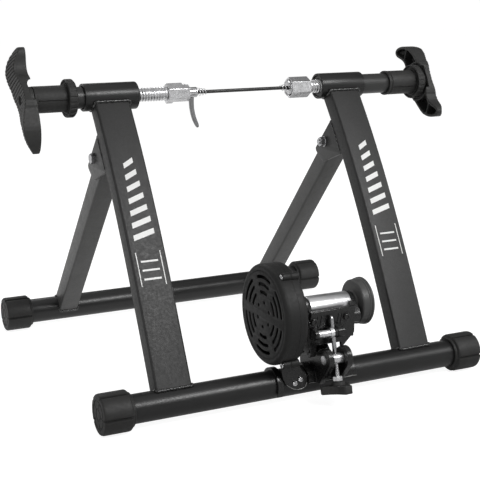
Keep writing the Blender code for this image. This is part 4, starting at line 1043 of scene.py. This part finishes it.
add("skin_roller_axle", solid([(-44, 4.0), (101.6, 4.0)], UNIT, 48, r=0.6), TURNED, "roller_group", ("roller_axle",))
add("skin_roller", pipe([(13.3, 16.5), (76.4, 16.5)], [(13.3, 4.3), (76.4, 4.3)], UNIT, 128, r=0.9), TURNED, "roller_group",
    ("roller",))
add("skin_brake_disc", pipe([(-42.0, 10.0), (-38.4, 10.0), (-38.3, 57.0), (-35.3, 57.0), (-35.2, 10.0), (-33.0, 10.0)],
                            [(-42.0, 4.3), (-33.0, 4.3)], UNIT, 96, r=0.3), DARKSTEEL, "roller_group", ("brake_disc",))
fly = fillet([(83.4, 14.0), (84.4, 16.0), (86.4, 16.4), (86.6, 28.8), (88.0, 30.6), (96.2, 31.2), (97.2, 32.2), (98.0, 32.2),
              (98.6, 31.2), (99.6, 31.4), (100.4, 32.8), (102.4, 32.8), (103.4, 31.6), (103.4, 27.0), (102.0, 25.6),
              (101.6, 15.0), (103.0, 13.4), (103.0, 6.0)], 0.5, False, 2)
add("skin_flywheel", spin(bmesh.new(), fly + [(103.0, 4.3), (83.4, 4.3)], UNIT, 128, True), WHEEL, "roller_group", ("flywheel",),
    angle=30)

# casting with its ribs and bosses
bm = xz_plate([fillet([(3.8, 119.6), (71.2, 121.4), (71.2, 127.4), (3.8, 125.8)], 0.6, True, 2)], -23.2, -20.0, 0.5)
for x, lean in ((13.4, 0.4), (20.0, -3.6), (46.6, -4.2), (51.4, -3.6)):
    bm = merge(bm, xz_plate([fillet([(x + lean, 102.6), (x + lean + 1.2, 102.6), (x + 1.2, 119.8), (x, 119.8)], 0.3, True, 1)], -23.0, -20.0, 0.35))
for z in (102.0,):
    bm = merge(bm, xz_plate([[(5.0, z), (31.0, z), (31.0, z + 1.3), (5.0, z + 1.3)]], -23.0, -20.0, 0.4))
bm = merge(bm, xz_plate([[(41.0, 102.4), (56.0, 102.4), (58.0, 103.6), (41.0, 103.6)]], -22.8, -20.0, 0.4))
extra = bm
cad_copy("skin_roller_yoke", "roller_yoke", CAST, "resistance_unit", 0.7, 2, 28)
add("yoke_ribs", extra, CAST, "resistance_unit", angle=30)
for i, (x, z) in enumerate(((8.6, 112.6), (58.4, 113.6))):
    add(f"yoke_boss_{i}", solid(fillet([(0.0, 4.8), (3.2, 4.8), (3.6, 4.2), (3.6, 2.0), (2.6, 1.6)], 0.3, False, 2), (0, 0), 40,
                                axis=((x, -21.5, z), (0, -1, 0))), CAST, "resistance_unit", angle=30)

# ---------------------------------------------------------------- bracket on the tube, side plate, bolt and knob
cad_copy("skin_unit_bracket", "unit_bracket", CAST, "rear_frame", 0.8, 2, 28)
cad_copy("skin_clamp_plate", "clamp_plate", CAST, "rear_frame", 0.5, 2, 28)
# painted highlights: pale beads along the side plate's lower edge and along the saddle's front stand in for bright
# glints there
edge_low = [(-31.6, -23.2, 31.4), (-28.8, -23.2, 29.1), (-24.6, -23.2, 26.3), (-20.7, -23.2, 24.2), (-14.0, -23.2, 22.7), (-7.8, -23.2, 23.2),
            (-3.4, -23.2, 25.6), (-1.5, -23.2, 30.4)]
add("edge_highlight_plate", tube_line(edge_low, 0.42, 8), EDGE_HIGHLIGHT, "rear_frame", angle=60)
add("edge_highlight_saddle", tube_line([(2.8 + 2.0 * i, -22.35 + 0.16 * math.sin(i * 1.7), 28.2 + 0.25 * math.sin(i * 0.9)) for i in range(6)], 0.42, 8),
    EDGE_HIGHLIGHT, "rear_frame", angle=60)
add("edge_highlight_saddle_mid", tube_line([(22.4 + 1.96 * i, -22.35 + 0.16 * math.sin(i * 2.1), 28.2 + 0.25 * math.sin(i * 1.1)) for i in range(11)], 0.42, 8),
    EDGE_HIGHLIGHT, "rear_frame", angle=60)
add("edge_highlight_saddle_right", tube_line([(50.4 + 1.98 * i, -22.35 + 0.16 * math.sin(i * 1.3), 28.2 + 0.25 * math.sin(i * 0.8)) for i in range(14)], 0.42, 8),
    EDGE_HIGHLIGHT, "rear_frame", angle=60)
for n, (x, z) in zip(("lower", "upper"), ((-19.6, 32.3), (-11.3, 36.8))):
    screw(f"skin_clamp_screw_{n}", (x, -23.4, z), (0, -1, 0), 3.8, 2.6, "rear_frame", (f"clamp_screw_{n}",))
add("skin_unit_hinge_pin", solid([(11.0, 4.0), (53.0, 4.0)], HINGE, 40, r=0.5), BOLT_STEEL, "rear_frame", ("unit_hinge_pin",))
BD = Vector((UPP[0] - LOW[0], UPP[1] - LOW[1])).normalized()


def on_bolt(d):
    return Vector((BOLT_X, LOW[0] + BD.x * d, LOW[1] + BD.y * d))


bolt_rot = Matrix(((1, 0, 0), (0, BD.y, BD.x), (0, -BD.x, BD.y)))
axis = (on_bolt(0), (0, BD.x, BD.y))
prof, mod = thread(-42.6, 8.0, BOLT_R, 1.0, 0.16, per=4)
bm = spin(bmesh.new(), prof, None, 28, False, mod, axis)
bm = merge(bm, solid(fillet([(-44.4, 2.6), (-42.5, 2.75)], 0.3, False, 2), None, 28, axis=axis),
           solid(fillet([(7.9, 2.75), (8.6, 3.0), (53.6, 3.0), (55.6, 2.2), (56.5, 1.2), (56.8, 0.6)], 0.4, False, 3), None, 40, axis=axis))
add("skin_tension_bolt", bm, BOLT_STEEL, "knob_and_bolt", ("tension_bolt",), angle=70)
lobes = []
for k in range(3):
    base = 34 + 120 * k
    for a, r in ((-60, 13.6), (-35, 15.6), (-17, 22.6), (-12, 24.6), (12, 24.6), (17, 22.6), (35, 15.6)):
        lobes.append((r * math.cos(math.radians(base + a)), r * math.sin(math.radians(base + a))))
m4 = bolt_rot.to_4x4()
m4.translation = on_bolt(-40.6)
bm = move(curve_plate([fillet(lobes, 2.6, True, 4)], 11.0, 1.3, 4), m4)
bm = merge(bm, solid(fillet([(-38.0, 9.6), (-31.4, 9.0), (-30.4, 7.8)], 0.4, False, 2), None, 48, axis=axis))
add("skin_tension_knob", bm, PLASTIC, "knob_and_bolt", ("tension_knob",), angle=35)
m4 = bolt_rot.to_4x4()
m4.translation = on_bolt(-26.6)
cad_copy("skin_tension_nut", "tension_nut", ZINC, "knob_and_bolt", 0.45, 2, 25)
low = solid(fillet([(13.4, 6.2), (22.6, 6.2), (22.6, 7.2), (41.4, 7.2), (41.4, 6.2), (50.6, 6.2)], 0.5, False, 2), LOW, 56)
low = add("skin_lower_trunnion", low, ZINC, "bolt_swivel", ("lower_trunnion",), angle=30)
subtract(low, [solid([(-20, BOLT_R + 0.5), (20, BOLT_R + 0.5)], None, 32, axis=axis)])
upp = solid(fillet([(4.2, 4.9), (26.4, 4.9), (26.4, 7.0), (31.8, 7.0)], 0.5, False, 2), UPP, 56)
upp = add("skin_upper_trunnion", upp, ZINC, "bolt_nut", ("upper_trunnion",), angle=30)
subtract(upp, [solid([(20, BOLT_R + 0.5), (50, BOLT_R + 0.5)], None, 32, axis=axis)])
# painted shade: the upper trunnion's part beside and right of the bolt is coloured as the black casting, as it sits in
# shade
upp = solid(fillet([(31.8, 7.0), (37.0, 7.0), (37.0, 4.9), (46.8, 4.9)], 0.5, False, 2), UPP, 56)
upp = add("upper_trunnion_painted_shade", upp, CAST, "bolt_nut", angle=30)
subtract(upp, [solid([(20, BOLT_R + 0.5), (50, BOLT_R + 0.5)], None, 32, axis=axis)])

# ---------------------------------------------------------------- floor, light, camera
scene = bpy.context.scene
bm = bmesh.new()
bmesh.ops.create_grid(bm, x_segments=8, y_segments=8, size=9.0)
me = bpy.data.meshes.new("studio_floor")
bm.to_mesh(me)
bm.free()
floor = bpy.data.objects.new("studio_floor", me)
floor.location = (0, 0, -0.0006)
scene.collection.objects.link(floor)
fm = bpy.data.materials.new("studio_floor")
fm.use_nodes = True
fb = fm.node_tree.nodes["Principled BSDF"]
fb.inputs["Base Color"].default_value = (0.35, 0.35, 0.35, 1)
fb.inputs["Roughness"].default_value = 0.9
fb.inputs["Specular IOR Level"].default_value = 0.0
fb.inputs["Emission Color"].default_value = (1, 1, 1, 1)
ft = fm.node_tree
fl = ft.nodes.new("ShaderNodeLightPath")
fr = ft.nodes.new("ShaderNodeMapRange")
fr.inputs["To Max"].default_value = 0.90
fc = ft.nodes.new("ShaderNodeTexCoord")
fs = ft.nodes.new("ShaderNodeSeparateXYZ")
ft.links.new(fc.outputs["Object"], fs.inputs["Vector"])
# the floor gives more light from behind the object than from in front of it
fy = ft.nodes.new("ShaderNodeMapRange")
fy.interpolation_type = "SMOOTHSTEP"
for socket, value in (("From Min", -0.30), ("From Max", 0.35), ("To Min", 0.18), ("To Max", 0.58)):
    fy.inputs[socket].default_value = value
ft.links.new(fs.outputs["Y"], fy.inputs["Value"])
ft.links.new(fy.outputs["Result"], fr.inputs["To Min"])
ft.links.new(fl.outputs["Is Camera Ray"], fr.inputs["Value"])
ft.links.new(fr.outputs["Result"], fb.inputs["Emission Strength"])
me.materials.append(fm)

world = bpy.data.worlds.new("studio")
scene.world = world
world.use_nodes = True
wt = world.node_tree
bg = wt.nodes["Background"]
bg.inputs["Color"].default_value = (1, 1, 1, 1)
bg.inputs["Strength"].default_value = 1.02
# the room as the object sees it: pale near the horizon, dim overhead
room = wt.nodes.new("ShaderNodeBackground")
wc = wt.nodes.new("ShaderNodeTexCoord")
ws = wt.nodes.new("ShaderNodeSeparateXYZ")
wr = wt.nodes.new("ShaderNodeValToRGB")
wt.links.new(wc.outputs["Generated"], ws.inputs["Vector"])
wt.links.new(ws.outputs["Z"], wr.inputs["Fac"])
ramp = wr.color_ramp
ramp.interpolation = "EASE"
stops = ((0.0, 0.62), (0.10, 0.46), (0.30, 0.20), (0.68, 0.11), (1.0, 0.62))
while len(ramp.elements) < len(stops):
    ramp.elements.new(0.5)
for e, (at, v) in zip(ramp.elements, stops):
    e.position, e.color = at, (v, v, v, 1)
wt.links.new(wr.outputs["Color"], room.inputs["Color"])
lp = wt.nodes.new("ShaderNodeLightPath")
mx = wt.nodes.new("ShaderNodeMixShader")
wt.links.new(lp.outputs["Is Camera Ray"], mx.inputs[0])
wt.links.new(room.outputs["Background"], mx.inputs[1])
wt.links.new(bg.outputs["Background"], mx.inputs[2])
wt.links.new(mx.outputs["Shader"], wt.nodes["World Output"].inputs["Surface"])


def area(name, loc, target, size, power, size_y=None):
    li = bpy.data.lights.new(name, "AREA")
    li.shape = "RECTANGLE"
    li.size, li.size_y = size, size_y or size
    li.energy = power
    o = bpy.data.objects.new(name, li)
    scene.collection.objects.link(o)
    o.location = loc
    o.rotation_euler = (Vector(target) - Vector(loc)).to_track_quat("-Z", "Y").to_euler()
    return o


area("key", (0.75, -2.1, 2.05), (0, -0.1, 0.15), 1.5, 46, 0.55)
area("side", (-2.3, -0.9, 1.3), (0, 0, 0.2), 0.8, 10, 0.8)
area("fill", (2.0, -1.0, 1.2), (0, 0, 0.2), 0.8, 8, 0.8)
area("back", (-0.6, 2.2, 1.9), (0, 0, 0.25), 2.0, 14, 0.6)

cam = bpy.data.cameras.new("camera")
cam.sensor_width = 36.0
cam.lens = 1095.785 / 480.0 * 36.0
cam.clip_start = 0.05
cam.clip_end = 60.0
co = bpy.data.objects.new("camera", cam)
scene.collection.objects.link(co)
co.location = W(-683.766, -1219.425, 556.316)
co.rotation_euler = (math.pi / 2 - 0.236193, 0.0, -0.453637)
scene.camera = co
scene.view_settings.view_transform = "Standard"
